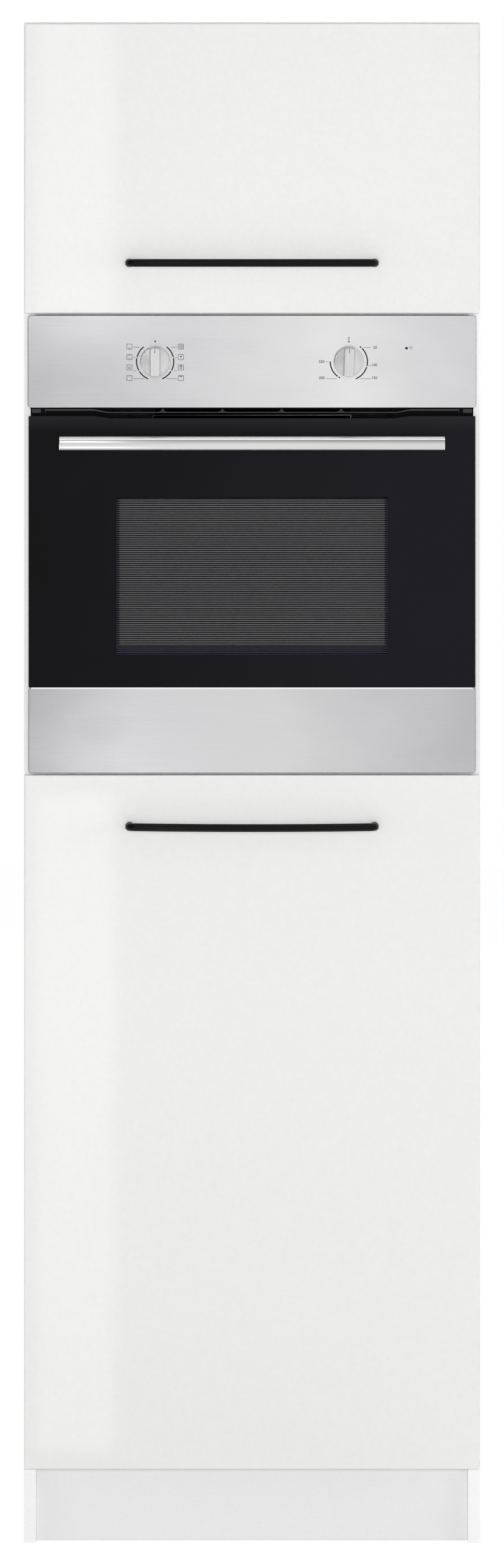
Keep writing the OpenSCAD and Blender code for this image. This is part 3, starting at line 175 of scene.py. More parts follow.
studio = {
    "ambient": 0.31,      # what the world sheds on the unit
    "backdrop": 1.0,      # white as the camera sees it
    # what mirrors show: half is level ahead, three quarters straight up, one level behind
    "room": [(0.5, 0.98), (0.56, 0.8), (0.61, 0.52), (0.685, 0.46), (0.697, 3.0), (0.717, 3.0),
             (0.73, 0.42), (0.85, 0.16), (1.0, 0.24)],
    "leftSide": 0.15,     # how much of it is left at the far left
    "leftFade": (-0.45, -0.1),
    "floorColour": 0.8,
    "floorShare": 0.9,    # how much of the floor is plain backdrop
    "floorGlow": 1.07,
    "floorSize": 16,
}


def makeStudio(sizes):
    world = bpy.data.worlds.new("studioWorld")
    world.use_nodes = True
    tree = world.node_tree
    tree.nodes.clear()
    shed, seen = (addNode(tree, "ShaderNodeBackground", {"Color": even(1), "Strength": sizes[key]})
                  for key in ("ambient", "backdrop"))
    # what gloss and metal show besides: a lamp overhead, a dimmer ceiling and left side
    way = addNode(tree, "ShaderNodeSeparateXYZ", {
        "Vector": addNode(tree, "ShaderNodeTexCoord").outputs["Generated"]}).outputs
    climb = calc(tree, "ARCTAN2", way["Z"], calc(tree, "MULTIPLY", way["Y"], -1.0))
    room = colourRamp(tree, between(tree, climb, 0, 1, -math.pi, math.pi),
                      *((place, even(level)) for place, level in sizes["room"]))
    left = between(tree, way["X"], sizes["leftSide"], 1, *sizes["leftFade"])
    mirrored = addNode(tree, "ShaderNodeBackground", {"Color": room, "Strength": left})
    glossy = addNode(tree, "ShaderNodeLightPath").outputs["Is Glossy Ray"]
    shown = addNode(tree, "ShaderNodeMixShader", {
        0: glossy, 1: seen.outputs[0], 2: mirrored.outputs[0]})
    both = addNode(tree, "ShaderNodeMixShader", {
        0: seenDirectly(tree), 1: shed.outputs[0], 2: shown.outputs[0]})
    addNode(tree, "ShaderNodeOutputWorld", {"Surface": both.outputs[0]})
    scene.world = world

    half = sizes["floorSize"] / 2
    mesh = bpy.data.meshes.new("studioFloor")
    mesh.from_pydata([(-half, -half, 0), (half, -half, 0), (half, half, 0), (-half, half, 0)],
                     [], [(0, 1, 2, 3)])
    floor = bpy.data.objects.new("studioFloor", mesh)
    scene.collection.objects.link(floor)
    paint = bpy.data.materials.new("floorPaint")
    paint.use_nodes = True
    tree = paint.node_tree
    tree.nodes.clear()
    matt = addNode(tree, "ShaderNodeBsdfDiffuse", {"Color": even(sizes["floorColour"])})
    glow = addNode(tree, "ShaderNodeEmission", {"Strength": sizes["floorGlow"]})
    both = addNode(tree, "ShaderNodeMixShader", {
        0: seenDirectly(tree, sizes["floorShare"]), 1: matt.outputs[0], 2: glow.outputs[0]})
    addNode(tree, "ShaderNodeOutputMaterial", {"Surface": both.outputs[0]})
    mesh.materials.append(paint)


makeStudio(studio)


def addLamp(title, place, target, size, power, **rays):
    data = bpy.data.lights.new(title, "AREA")
    data.shape = "RECTANGLE"
    data.size, data.size_y = size
    data.energy = power
    lamp = bpy.data.objects.new(title, data)
    lamp.location = place
    lamp.rotation_euler = (Vector(target) - Vector(place)).to_track_quat("-Z", "Y").to_euler()
    lamp.visible_camera = False
    for key, value in rays.items():
        setattr(lamp, key, value)
    scene.collection.objects.link(lamp)


# each lamp's place, the point it faces, its size and its power
lamps = {
    "keyLamp": ((0.2, -6.8, 1.95), (0, -0.3, 1.2), (0.9, 0.9), 110),
    "fillLamp": ((-0.2, -6.8, 1.25), (0, -0.3, 0.9), (0.9, 1.2), 89),
    "rightLamp": ((4.5, -1.1, 1.5), (0, 0, 1.1), (1.5, 1.8), 66),
    "leftLamp": ((-4.5, -0.9, 1.3), (0, 0, 1.0), (1.5, 1.8), 52),
    "topLamp": ((0.3, 1.3, 5.2), (0, 0.3, 2.0), (2.5, 2.5), 56),
    "backLamp": ((1.4, 5.6, 2.2), (0, 0.3, 1.0), (2.0, 2.0), 110),
}
for title, values in lamps.items():
    addLamp(title, *values, visible_glossy=False)

# two narrow lamps that only show as a soft band on the gloss fronts
bandLamps = {
    "x": -0.25, "y": -0.86, "width": 0.11, "power": 0.42,
    "spans": {"bandLampHigh": (1.6, 2.06), "bandLampLow": (-0.06, 0.93)},
}
for title, (low, high) in bandLamps["spans"].items():
    middle, tall = (low + high) / 2, high - low
    addLamp(title, (bandLamps["x"], bandLamps["y"], middle), (bandLamps["x"], 0, middle),
            (bandLamps["width"], tall), bandLamps["power"] * tall, visible_diffuse=False)
print("studio ready")


# finishes

def objectSpace(tree, stretch=(1, 1, 1)):
    place = addNode(tree, "ShaderNodeTexCoord").outputs["Object"]
    return addNode(tree, "ShaderNodeMapping", {"Vector": place, "Scale": stretch}).outputs[0]


def placeAlong(tree, axis):
    return addNode(tree, "ShaderNodeSeparateXYZ", {"Vector": objectSpace(tree)}).outputs[axis]


def makeFinish(title, dark, light, rough=(0.3, 0.4), grain=10, stretch=(1, 1, 1), bump=0.1,
               depth=0.1, contrast=0.15, **sockets):
    # a finish of two close tones, with its grain in the gloss and the relief too
    material = bpy.data.materials.new(title)
    material.use_nodes = True
    tree = material.node_tree
    shader = tree.nodes["Principled BSDF"]
    for key, value in sockets.items():
        shader.inputs[key.replace("_", " ")].default_value = value
    noise = addNode(tree, "ShaderNodeTexNoise", {
        "Vector": objectSpace(tree, stretch), "Scale": 1000 / grain, "Detail": 4})
    share = noise.outputs["Fac"]
    tone = colourRamp(tree, share, (0.5 - contrast, dark), (0.5 + contrast, light))
    tree.links.new(tone, shader.inputs["Base Color"])
    tree.links.new(between(tree, share, *rough, 0.3, 0.7), shader.inputs["Roughness"])
    relief = addNode(tree, "ShaderNodeBump", {
        "Strength": bump, "Distance": mm(depth), "Height": share})
    tree.links.new(relief.outputs[0], shader.inputs["Normal"])
    material.diffuse_color = light
    return material


def tintBy(material, share, colour, mode="MIX"):
    # lays a second colour over a finish where share is one
    tree = material.node_tree
    target = tree.nodes["Principled BSDF"].inputs["Base Color"]
    under = target.links[0].from_socket
    mix = addNode(tree, "ShaderNodeMix", data_type="RGBA", blend_type=mode)
    for number, value in ((0, share), (6, under), (7, colour)):
        if isinstance(value, bpy.types.NodeSocket):
            tree.links.new(value, mix.inputs[number])
        else:
            mix.inputs[number].default_value = value
    tree.links.new(mix.outputs[2], target)


def speckled(material, colour, size, low, high):
    # spots of a second colour, where a noise rises from low to high
    tree = material.node_tree
    spots = addNode(tree, "ShaderNodeTexNoise", {
        "Vector": objectSpace(tree), "Scale": 1000 / size, "Detail": 1})
    tintBy(material, between(tree, spots.outputs["Fac"], 0, 1, low, high), colour)
    return material


def brushedSteel(title, *stops, rough=(0.24, 0.36)):
    # lines brushed from side to side, under a painted reflection: a slow change of tone across the
    # width
    steel = makeFinish(title, grey(238), grey(250), rough=rough, grain=1000,
                       stretch=(7, 2200, 2200), bump=0.12, depth=0.02, contrast=0.2,
                       Metallic=1.0)
    tree = steel.node_tree
    share = between(tree, placeAlong(tree, "X"), 0, 1, cadLow.x, cadHigh.x)
    cloud = addNode(tree, "ShaderNodeTexNoise", {
        "Vector": objectSpace(tree, (1, 1, 2)), "Scale": 9, "Detail": 2})
    drift = between(tree, cloud.outputs["Fac"], -0.05, 0.05, 0.3, 0.7)
    tintBy(steel, 1, colourRamp(tree, calc(tree, "ADD", share, drift), *stops), "MULTIPLY")
    return steel


def spangled(title, dark, light, **settings):
    # zinc coating with its crystals
    zinc = makeFinish(title, dark, light, Metallic=1.0, **settings)
    tree = zinc.node_tree
    crystals = addNode(tree, "ShaderNodeTexVoronoi", {
        "Vector": objectSpace(tree), "Scale": 110, "Randomness": 1.0})
    tone = colourRamp(tree, crystals.outputs["Color"], (0.1, grey(226)), (0.9, grey(255)))
    tintBy(zinc, 1, tone, "MULTIPLY")
    return zinc


lacquer = makeFinish("frontLacquer", grey(235, (0, 0, -1)), grey(237, (0, 0, -1)),
                     rough=(0.06, 0.1), grain=6, bump=0.05, depth=0.05)
melamine = makeFinish("melamineBoard", grey(231, (0, 0, -1)), grey(234, (0, 0, -1)),
                      rough=(0.38, 0.5), grain=1.4, bump=0.2, depth=0.04)
# painted light: a lighter tone for the front edges, to lift the shade in their recesses
paintedLightEdge = makeFinish("paintedLightEdge", grey(247), grey(250), rough=(0.25, 0.35), grain=2, bump=0.1,
                      depth=0.03)
# painted light: the plinth is a little lighter than the boards, to lift the shade under the door
plinthBoard = makeFinish("plinthBoard", grey(234), grey(238), rough=(0.28, 0.4), grain=2,
                         bump=0.15, depth=0.04)
hardboard = makeFinish("backHardboard", grey(222, (0, -1, -4)), grey(232, (0, -1, -3)),
                       rough=(0.6, 0.75), grain=3, bump=0.5, depth=0.15, contrast=0.25)
zincPlate = makeFinish("nickelPlate", grey(190), grey(212, (1, 0, -3)), rough=(0.22, 0.36),
                       grain=4, bump=0.1, depth=0.05, Metallic=1.0)
clearPad = makeFinish("clearPad", grey(214), grey(228), rough=(0.25, 0.4), grain=2,
                      bump=0.1, Transmission_Weight=0.6, IOR=1.48)
blackLacquer = makeFinish("satinBlack", grey(7), grey(11, (0, 0, 1)), rough=(0.24, 0.34),
                          grain=0.8, bump=0.2, depth=0.05, Specular_IOR_Level=0.14)
zincSheet = spangled("zincSheet", grey(176, (0, 1, 3)), grey(204, (0, 1, 3)),
                     rough=(0.3, 0.5), grain=40, bump=0.05)
enamel = speckled(makeFinish("ovenEnamel", grey(38, (0, 1, 4)), grey(46, (0, 1, 5)),
                             rough=(0.12, 0.2), grain=3, bump=0.12, depth=0.1),
                  grey(104, (0, 2, 6)), 1.3, 0.66, 0.7)
blackSheet = makeFinish("blackSheet", grey(26), grey(33), rough=(0.35, 0.5), grain=1.2,
                        bump=0.2, depth=0.05)
# painted reflection: the stops below make each steel lighter or darker across its width, where a
# lamp's reflection would lie
panelSteel = brushedSteel("panelSteel", (0.0, grey(208, (0, 0, 2))), (0.3, grey(228, (0, 0, 2))),
                          (0.7, grey(252, (0, 0, 1))), (1.0, grey(231, (0, 0, 2))))
stripSteel = brushedSteel("stripSteel", (0.0, grey(194, (0, 0, 2))), (0.25, grey(228, (0, 0, 2))),
                          (0.55, grey(230, (0, 0, 1))), (0.8, grey(214, (0, 0, 2))),
                          (1.0, grey(202, (0, 0, 2))))
barSteel = brushedSteel("barSteel", (0.0, grey(221)), (0.5, grey(229)), (1.0, grey(221)),
                        rough=(0.15, 0.24))
# painted highlight: a brighter steel for the line along the strip's head
highlightSteel = brushedSteel("highlightSteel", (0.0, grey(244)), (0.5, grey(255)), (1.0, grey(244)),
                         rough=(0.14, 0.2))
# painted shade for the folds that turn away from the light
foldShade = makeFinish("foldShade", grey(36), grey(48), rough=(0.4, 0.5), grain=3, bump=0.1,
                        Metallic=0.8)
borderGlass = makeFinish("borderGlass", grey(9, (0, 0, 2)), grey(12, (0, 0, 3)),
                         rough=(0.03, 0.05), grain=60, bump=0.01, Specular_IOR_Level=0.08)
# painted reflection: the black glass is made warmer towards the right and paler along its head
for axis, share, start, end, colour in (("X", 0.8, -0.28, 0.16, grey(23, (2, 0, 8))),
                                        ("Z", 0.6, 1.462, 1.479, grey(40, (0, 0, 4)))):
    place = placeAlong(borderGlass.node_tree, axis)
    tintBy(borderGlass, between(borderGlass.node_tree, place, 0, share, start, end), colour)
windowGlass = makeFinish("windowGlass", grey(8, (0, 0, 3)), grey(12, (0, 0, 4)),
                         rough=(0.03, 0.05), grain=60, bump=0.01, Specular_IOR_Level=0.12,
                         Alpha=0.2)
innerGlass = makeFinish("innerGlass", grey(8), grey(12), rough=(0.03, 0.06), grain=60,
                        bump=0.01, Specular_IOR_Level=0.12, Alpha=0.12)
rubber = makeFinish("sealRubber", grey(40), grey(50), rough=(0.6, 0.75), grain=1, bump=0.3)
blackPlastic = makeFinish("blackPlastic", grey(18), grey(26), rough=(0.42, 0.56), grain=0.7,
                          bump=0.3, depth=0.05)
frameEnamel = makeFinish("frameEnamel", grey(7), grey(11, (0, 0, 1)), rough=(0.5, 0.62),
                         grain=2, bump=0.15, depth=0.05, Specular_IOR_Level=0.15)
ventPlastic = makeFinish("ventPlastic", grey(10), grey(15, (0, 0, 1)), rough=(0.4, 0.55),
                         grain=0.7, bump=0.25, depth=0.05, Specular_IOR_Level=0.15)
ventEdge = makeFinish("ventEdge", grey(38), grey(47, (0, 0, 2)), rough=(0.4, 0.55), grain=0.7,
                      bump=0.25, depth=0.05)
ventBlock = makeFinish("ventBlock", grey(40, (0, 0, 2)), grey(48, (0, 0, 2)), rough=(0.4, 0.55),
                       grain=0.7, bump=0.25, depth=0.05)
ivoryPlastic = makeFinish("ivoryPlastic", grey(196, (4, 0, -16)), grey(208, (4, 0, -16)),
                          rough=(0.4, 0.5), grain=1, bump=0.1)
pilotLens = makeFinish("pilotLens", grey(16, (4, 0, 0)), grey(24, (8, 0, 0)),
                       rough=(0.08, 0.14), grain=2, bump=0.1)
woolFleece = speckled(makeFinish("mineralWool", grey(186, (8, 0, -34)), grey(214, (6, 0, -26)),
                                 rough=(0.85, 0.95), grain=3, stretch=(1, 5, 5), bump=0.9,
                                 depth=1.2, contrast=0.3), grey(150, (8, 0, -26)), 4, 0.6, 0.7)
elementTube = makeFinish("elementTube", grey(62, (4, 0, -4)), grey(84, (4, 0, -4)),
                         rough=(0.5, 0.7), grain=6, bump=0.3, Metallic=0.6)
rackChrome = makeFinish("rackChrome", grey(214), grey(232), rough=(0.1, 0.2), grain=5,
                        bump=0.05, Metallic=1.0)
fanAluminium = makeFinish("fanAluminium", grey(176), grey(200), rough=(0.3, 0.45), grain=6,
                          bump=0.1, Metallic=1.0)
motorSteel = makeFinish("motorSteel", grey(120), grey(150), rough=(0.4, 0.55), grain=0.6,
                        stretch=(1, 12, 1), bump=0.3, Metallic=0.9)
lampGlass = makeFinish("lampGlass", grey(226), grey(236), rough=(0.05, 0.12), grain=8,
                       bump=0.1, Transmission_Weight=0.7, IOR=1.47)
knobFace = makeFinish("knobFace", grey(206, (0, 0, 1)), grey(218), rough=(0.26, 0.36),
                      grain=1000, stretch=(2200, 40, 7), bump=0.1, depth=0.02, Metallic=0.55)
printInk = makeFinish("printInk", grey(8), grey(16), rough=(0.45, 0.6), grain=0.5, bump=0.1)
thinInk = makeFinish("thinInk", grey(30), grey(38), rough=(0.45, 0.6), grain=0.5, bump=0.1)
lineInk = makeFinish("lineInk", grey(134, (1, 0, 3)), grey(142, (1, 0, 3)), rough=(0.5, 0.6),
                     grain=2, bump=0.05)
dimLineInk = makeFinish("dimLineInk", grey(70, (4, 0, 20)), grey(78, (4, 0, 20)),
                        rough=(0.5, 0.6), grain=2, bump=0.05)
print("finishes ready:", len(bpy.data.materials))


# helpers that make and place pieces

def settle(title, mesh, finishes, body, slotName, *replaced, angle=32):
    # links a finished mesh, gives it its finish and hands it to its body;
    # the shading follows the large faces, so that a flat front reflects as one
    mesh.polygons.foreach_set("use_smooth", [True] * len(mesh.polygons))
    mesh.set_sharp_from_angle(angle=math.radians(angle))
    mesh = baked(mesh, ("WEIGHTED_NORMAL", {"weight": 90, "keep_sharp": True}))
    several = isinstance(finishes, list)
    numbers = [0] * len(mesh.polygons)
    if several:
        mesh.polygons.foreach_get("material_index", numbers)
    mesh.materials.clear()
    for finish in finishes if several else [finishes]:
        mesh.materials.append(finish)
    mesh.polygons.foreach_set("material_index", numbers)
    piece = bpy.data.objects.new(title, mesh)
    scene.collection.objects.link(piece)
    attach(piece, body)
    if replaced:
        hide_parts(*replaced)
    return piece


def baked(mesh, *modifiers):
    # a mesh with its modifiers worked in
    holder = bpy.data.objects.new("holder", mesh)
    scene.collection.objects.link(holder)
    for kind, settings in modifiers:
        modifier = holder.modifiers.new(kind, kind)
        for key, value in settings.items():
            setattr(modifier, key, value)
    graph = bpy.context.evaluated_depsgraph_get()
    result = bpy.data.meshes.new_from_object(holder.evaluated_get(graph))
    bpy.data.objects.remove(holder)
    return result


def skinOf(node):
    # a CAD mesh merged into one skin, its flat faces whole
    skin = bmesh.new()
    skin.from_mesh(nodes[node].data)
    bmesh.ops.remove_doubles(skin, verts=skin.verts, dist=mm(0.002))
    bmesh.ops.dissolve_limit(skin, angle_limit=math.radians(0.4), verts=skin.verts,
                             edges=skin.edges, delimit={"NORMAL"})
    return skin


def easedSkin(skin, width, shortest=4, steps=2, where=None):
    # eases the long edges of a skin; where picks the edges instead
    mark = skin.edges.layers.float.new("bevel_weight_edge")
    for edge in skin.edges:
        if len(edge.link_faces) != 2 or edge.calc_face_angle(0) < math.radians(38):
            continue
        if where(edge) if where else edge.calc_length() >= mm(shortest):
            edge[mark] = 1
    return baked(plainSkin(skin), ("BEVEL", {
        "width": mm(width), "segments": steps, "limit_method": "WEIGHT",
        "use_clamp_overlap": False, "miter_outer": "MITER_ARC"}))


def plainSkin(skin):
    mesh = bpy.data.meshes.new("skin")
    skin.to_mesh(mesh)
    skin.free()
    return mesh


def bodyOf(node):
    return nodes[node]["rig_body"]


def camel(node):
    first, *rest = node.split("_")
    return first + "".join(word.capitalize() for word in rest)


def dress(node, finish, slotName, width=0, shortest=4, **settings):
    # the CAD shape with eased edges and its finish
    skin = skinOf(node)
    mesh = easedSkin(skin, width, shortest, **settings) if width else plainSkin(skin)
    return settle(camel(node), mesh, finish, bodyOf(node), slotName, node)


def closeUp(build):
    # merges what meets and turns the faces outwards
    bmesh.ops.remove_doubles(build, verts=build.verts, dist=mm(0.001))
    bmesh.ops.recalc_face_normals(build, faces=build.faces)
    return build


def meshFrom(build):
    return plainSkin(closeUp(build))


def addSlab(build, outline, front, back, material=0):
    # a flat plate across Y from its outline in X and Z
    ends = [[build.verts.new((x, y, z)) for x, z in outline] for y in (front, back)]
    faces = [build.faces.new(ends[0]), build.faces.new(list(reversed(ends[1])))]
    count = len(outline)
    for k in range(count):
        after = (k + 1) % count
        faces.append(build.faces.new((ends[0][after], ends[0][k], ends[1][k], ends[1][after])))
    for face in faces:
        face.material_index = material


def addPlate(build, x0, x1, z0, z1, front, back, material=0):
    addSlab(build, [(x0, z0), (x1, z0), (x1, z1), (x0, z1)], front, back, material)


def isCorner(edge):
    # true of an edge where two faces meet at a steep angle
    return edge.calc_face_angle(0) > math.radians(60)


def roundedOutline(width, height, radius, centre=(0, 0), steps=6):
    points = []
    for quarter, (sx, sz) in enumerate(((1, 1), (-1, 1), (-1, -1), (1, -1))):
        for k in range(steps + 1):
            turn = math.radians(90 * (quarter + k / steps))
            points.append((centre[0] + sx * (width / 2 - radius) + radius * math.cos(turn),
                           centre[1] + sz * (height / 2 - radius) + radius * math.sin(turn)))
    return points


def addLathe(build, profile, centre, steps):
    # turns a profile of (radius, y) round the Y axis through a centre
    rings = []
    for radius, y in profile:
        if radius == 0:
            rings.append([build.verts.new((centre[0], y, centre[1]))])
            continue
        rings.append([build.verts.new((
            centre[0] + radius * math.cos(2 * math.pi * k / steps), y,
            centre[1] + radius * math.sin(2 * math.pi * k / steps))) for k in range(steps)])
    for one, two in zip(rings, rings[1:]):
        for k in range(steps):
            after = (k + 1) % steps
            corners = [one[k % len(one)], one[after % len(one)],
                       two[after % len(two)], two[k % len(two)]]
            unique = list(dict.fromkeys(corners))
            if len(unique) > 2:
                build.faces.new(unique)


# trees for what repeats

def newTree(title, **inputs):
    # a geometry tree with named inputs; each value picks its kind of socket
    kinds = {float: "NodeSocketFloat", int: "NodeSocketInt", Vector: "NodeSocketVector",
             bpy.types.Material: "NodeSocketMaterial", bpy.types.Object: "NodeSocketObject"}
    tree = bpy.data.node_groups.new(title, "GeometryNodeTree")
    tree.interface.new_socket("Geometry", in_out="OUTPUT", socket_type="NodeSocketGeometry")
    sockets = {}
    for name, value in inputs.items():
        socket = tree.interface.new_socket(name, in_out="INPUT",
                                           socket_type=kinds[type(value)])
        sockets[socket.identifier] = value
    given = tree.nodes.new("NodeGroupInput").outputs
    return tree, sockets, given


def closeTree(tree, sockets, geometry, finish):
    # ends a tree in plain geometry with its finish, and returns the mesh it makes
    real = addNode(tree, "GeometryNodeRealizeInstances", {"Geometry": geometry})
    painted = addNode(tree, "GeometryNodeSetMaterial", {
        "Geometry": real.outputs[0], "Material": finish})
    addNode(tree, "NodeGroupOutput", {"Geometry": painted.outputs[0]})
    holder = bpy.data.objects.new("holder", bpy.data.meshes.new("holder"))
    scene.collection.objects.link(holder)
    modifier = holder.modifiers.new("grow", "NODES")
    modifier.node_group = tree
    for identifier, value in sockets.items():
        modifier[identifier] = tuple(value) if isinstance(value, Vector) else value
    graph = bpy.context.evaluated_depsgraph_get()
    result = bpy.data.meshes.new_from_object(holder.evaluated_get(graph))
    holder.modifiers.remove(modifier)
    bpy.data.objects.remove(holder)
    return result


def barRow(title, finish, start, step, count, size):
    # a straight row of flat bars
    tree, sockets, given = newTree(title, start=start, step=step, count=count, size=size,
                                   finish=finish)
    line = addNode(tree, "GeometryNodeMeshLine", {
        "Count": given["count"], "Start Location": given["start"], "Offset": given["step"]})
    bar = addNode(tree, "GeometryNodeMeshCube", {"Size": given["size"]})
    row = addNode(tree, "GeometryNodeInstanceOnPoints", {
        "Points": line.outputs[0], "Instance": bar.outputs[0]})
    return closeTree(tree, sockets, row.outputs[0], given["finish"])


def rodRow(title, finish, start, step, count, along, radius, sides=14):
    # a straight row of round rods, each closed at its ends
    tree, sockets, given = newTree(title, start=start, step=step, count=count, along=along,
                                   radius=radius, sides=sides, finish=finish)
    line = addNode(tree, "GeometryNodeMeshLine", {
        "Count": given["count"], "Start Location": given["start"], "Offset": given["step"]})
    path = addNode(tree, "GeometryNodeCurvePrimitiveLine", {"End": given["along"]})
    ring = addNode(tree, "GeometryNodeCurvePrimitiveCircle", {
        "Resolution": given["sides"], "Radius": given["radius"]})
    rod = addNode(tree, "GeometryNodeCurveToMesh", {
        "Curve": path.outputs[0], "Profile Curve": ring.outputs[0], "Fill Caps": True})
    row = addNode(tree, "GeometryNodeInstanceOnPoints", {
        "Points": line.outputs[0], "Instance": rod.outputs[0]})
    return closeTree(tree, sockets, row.outputs[0], given["finish"])


def scatterShape(title, finish, shape, places):
    # one shape set at each point of a list
    points = bpy.data.meshes.new("points")
    points.from_pydata([tuple(p) for p in places], [], [])
    seeds = bpy.data.objects.new("points", points)
    model = bpy.data.objects.new("model", shape)
    for item in (seeds, model):
        scene.collection.objects.link(item)
    tree, sockets, given = newTree(title, places=seeds, shape=model, finish=finish)
    field = addNode(tree, "GeometryNodeObjectInfo", {"Object": given["places"]})
    one = addNode(tree, "GeometryNodeObjectInfo", {"Object": given["shape"]})
    row = addNode(tree, "GeometryNodeInstanceOnPoints", {
        "Points": field.outputs["Geometry"], "Instance": one.outputs["Geometry"]})
    mesh = closeTree(tree, sockets, row.outputs[0], given["finish"])
    for item in (seeds, model):
        bpy.data.objects.remove(item)
    return mesh


def joined(*meshes):
    # several meshes as one, their finishes kept in the order of the faces' numbers
    build = bmesh.new()
    for mesh in meshes:
        build.from_mesh(mesh)
    return plainSkin(build)


# cupboard boards, doors and handles

boardEdges = {"ease": 0.5, "shortest": 40, "front": 0.3}
for name in ("side_panel_left", "side_panel_right", "top_panel", "oven_top_shelf",
             "oven_shelf", "bottom_panel", "rear_rail", "upper_shelf", "lower_shelf_low",
             "lower_shelf_high"):
    board = easedSkin(skinOf(name), boardEdges["ease"], boardEdges["shortest"])
    # painted light: the front edges are a little lighter than the board, to lift the shade in the
    # recesses beside the fronts
    for face in board.polygons:
        face.material_index = 1 if face.normal.y < -boardEdges["front"] else 0
    settle(camel(name), board, [melamine, paintedLightEdge], bodyOf(name), "white_board", name)
dress("plinth_panel", plinthBoard, "plinth_white", boardEdges["ease"], boardEdges["shortest"])
for name in ("back_panel_upper", "back_panel_lower"):
    dress(name, hardboard, "back_board_white")
for name in ("upper_door", "lower_door"):
    dress(name, lacquer, "white_front")

bowHandle = {"ease": 0.45, "shortest": 3}
for name in ("upper_handle", "lower_handle"):
    dress(name, blackLacquer, "black_handle", bowHandle["ease"], bowHandle["shortest"], steps=3)
for name in ("door_buffers_upper", "door_buffers_lower"):
    dress(name, clearPad, "clear_buffer")
print("cupboard dressed")

# fittings

fittings = {"ease": 0.2, "shortest": 2.5}
for name in ("hinge_plates", "hinge_arms", "wall_brackets"):
    dress(name, zincPlate, "fitting_steel", fittings["ease"], fittings["shortest"])
for name in ("shelf_pins", "cam_locks", "cam_bolts", "hinge_screws", "upper_hinge_cups",
             "lower_hinge_cups", "upper_handle_screws", "lower_handle_screws"):
    dress(name, zincPlate, "fitting_steel")
print("fittings dressed")

# oven body

for name, finish, slotName in (
        ("oven_casing", zincSheet, "galvanised_sheet"),
        ("blower_housing", zincSheet, "galvanised_sheet"),
        ("oven_cavity", enamel, "enamel"),
        ("oven_front_frame", frameEnamel, "black_sheet"),
        ("fan_baffle", enamel, "enamel"),
        ("grill_element", elementTube, "element_steel"),
        ("bottom_element", elementTube, "element_steel"),
        ("convection_fan", fanAluminium, "fan_aluminium"),
        ("blower_rotor", fanAluminium, "fan_aluminium"),
        ("fan_motor", motorSteel, "motor_steel"),
        ("oven_lamp", lampGlass, "lamp_glass"),
        ("rack_supports", rackChrome, "rack_chrome"),
        ("function_switch", ivoryPlastic, "ivory_plastic"),
        ("thermostat", ivoryPlastic, "ivory_plastic"),
        ("pilot_lamp", pilotLens, "amber_lens"),
        ("oven_hinge_arms", zincPlate, "fitting_steel"),
        ("oven_door_frame", blackSheet, "black_sheet")):
    dress(name, finish, slotName)

# the rear sheet, with the box of the terminals in black plastic
rearSheet = {"thick": 1.2}
rearLow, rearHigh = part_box("oven_rear_cover")
rear = skinOf("oven_rear_cover")
for face in rear.faces:
    behind = face.calc_center_median().y > rearLow.y + mm(rearSheet["thick"])
    face.material_index = 1 if behind else 0
settle("ovenRearCover", plainSkin(rear), [zincSheet, blackPlastic], "carcass",
       "galvanised_sheet", "oven_rear_cover")

# wool round the cooking space, its faces uneven as a blanket's are
woolBlanket = {"voxel": 8, "swell": 1.6, "lump": 30, "thick": 22, "clear": 6}


def makeWool(sizes):
    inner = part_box("insulation")[1] - Vector([mm(sizes["thick"])] * 3)
    skin = skinOf("insulation")
    # its inner sides stand a little off the sheet, because the remesh fills their corners
    for vert in skin.verts:
        for axis in range(3):
            reach = abs(vert.co[axis]) if axis == 0 else vert.co[axis]
            if abs(reach - inner[axis]) < mm(0.1):
                vert.co[axis] += math.copysign(mm(sizes["clear"]), vert.co[axis])
    lumps = bpy.data.textures.new("woolLumps", "CLOUDS")
    lumps.noise_scale = mm(sizes["lump"])
    return baked(plainSkin(skin), ("REMESH", {"mode": "VOXEL", "voxel_size": mm(sizes["voxel"])}),
                 ("DISPLACE", {"texture": lumps, "strength": -mm(sizes["swell"]),
                               "mid_level": 0.0}))


settle("woolBlanket", makeWool(woolBlanket), woolFleece, "carcass", "wool", "insulation", angle=80)

# screws that hold the rear sheet and the front frame
screwHead = {
    "radius": 3.6, "height": 1.6,
    # the head's section, as shares of its radius and height
    "section": ((0, 0), (1, 0), (1, 0.35), (0.86, 0.75), (0.55, 1), (0.3, 1), (0.24, 0.45),
                (0, 0.4)),
}


def screwShape(sizes, outward):
    # a round head with a recess, standing on y = 0; outward is 1 to the back and -1 to the front
    r, h = mm(sizes["radius"]), mm(sizes["height"]) * outward
    build = bmesh.new()
    addLathe(build, [(r * share, h * rise) for share, rise in sizes["section"]], (0, 0), 20)
    return meshFrom(build)


def placeScrews(title, places, outward):
    mesh = scatterShape(title + "Tree", zincPlate, screwShape(screwHead, outward), places)
    settle(title + "s", mesh, zincPlate, "carcass", "fitting_steel")


screwPlaces = {
    "inset": 9, "innerX": 120, "above": 1,         # on the rear sheet
    "frontX": 288, "frontRises": (1104, 1404),     # on the front frame
}
inset = mm(screwPlaces["inset"])
innerX = mm(screwPlaces["innerX"])
rearY = rearLow.y + mm(screwPlaces["above"])
outerPair = (rearLow.x + inset, rearHigh.x - inset)
places = [(x, rearY, z) for x in (outerPair[0], -innerX, innerX, outerPair[1])
          for z in (rearLow.z + inset, rearHigh.z - inset)]
places += [(x, rearY, (rearLow.z + rearHigh.z) / 2) for x in outerPair]
placeScrews("rearScrew", places, 1)

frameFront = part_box("oven_front_frame")[0].y
placeScrews("frontScrew", [(side * mm(screwPlaces["frontX"]), frameFront, mm(rise))
                           for side in (-1, 1) for rise in screwPlaces["frontRises"]], -1)
print("oven body dressed")

# seal, rack and vent


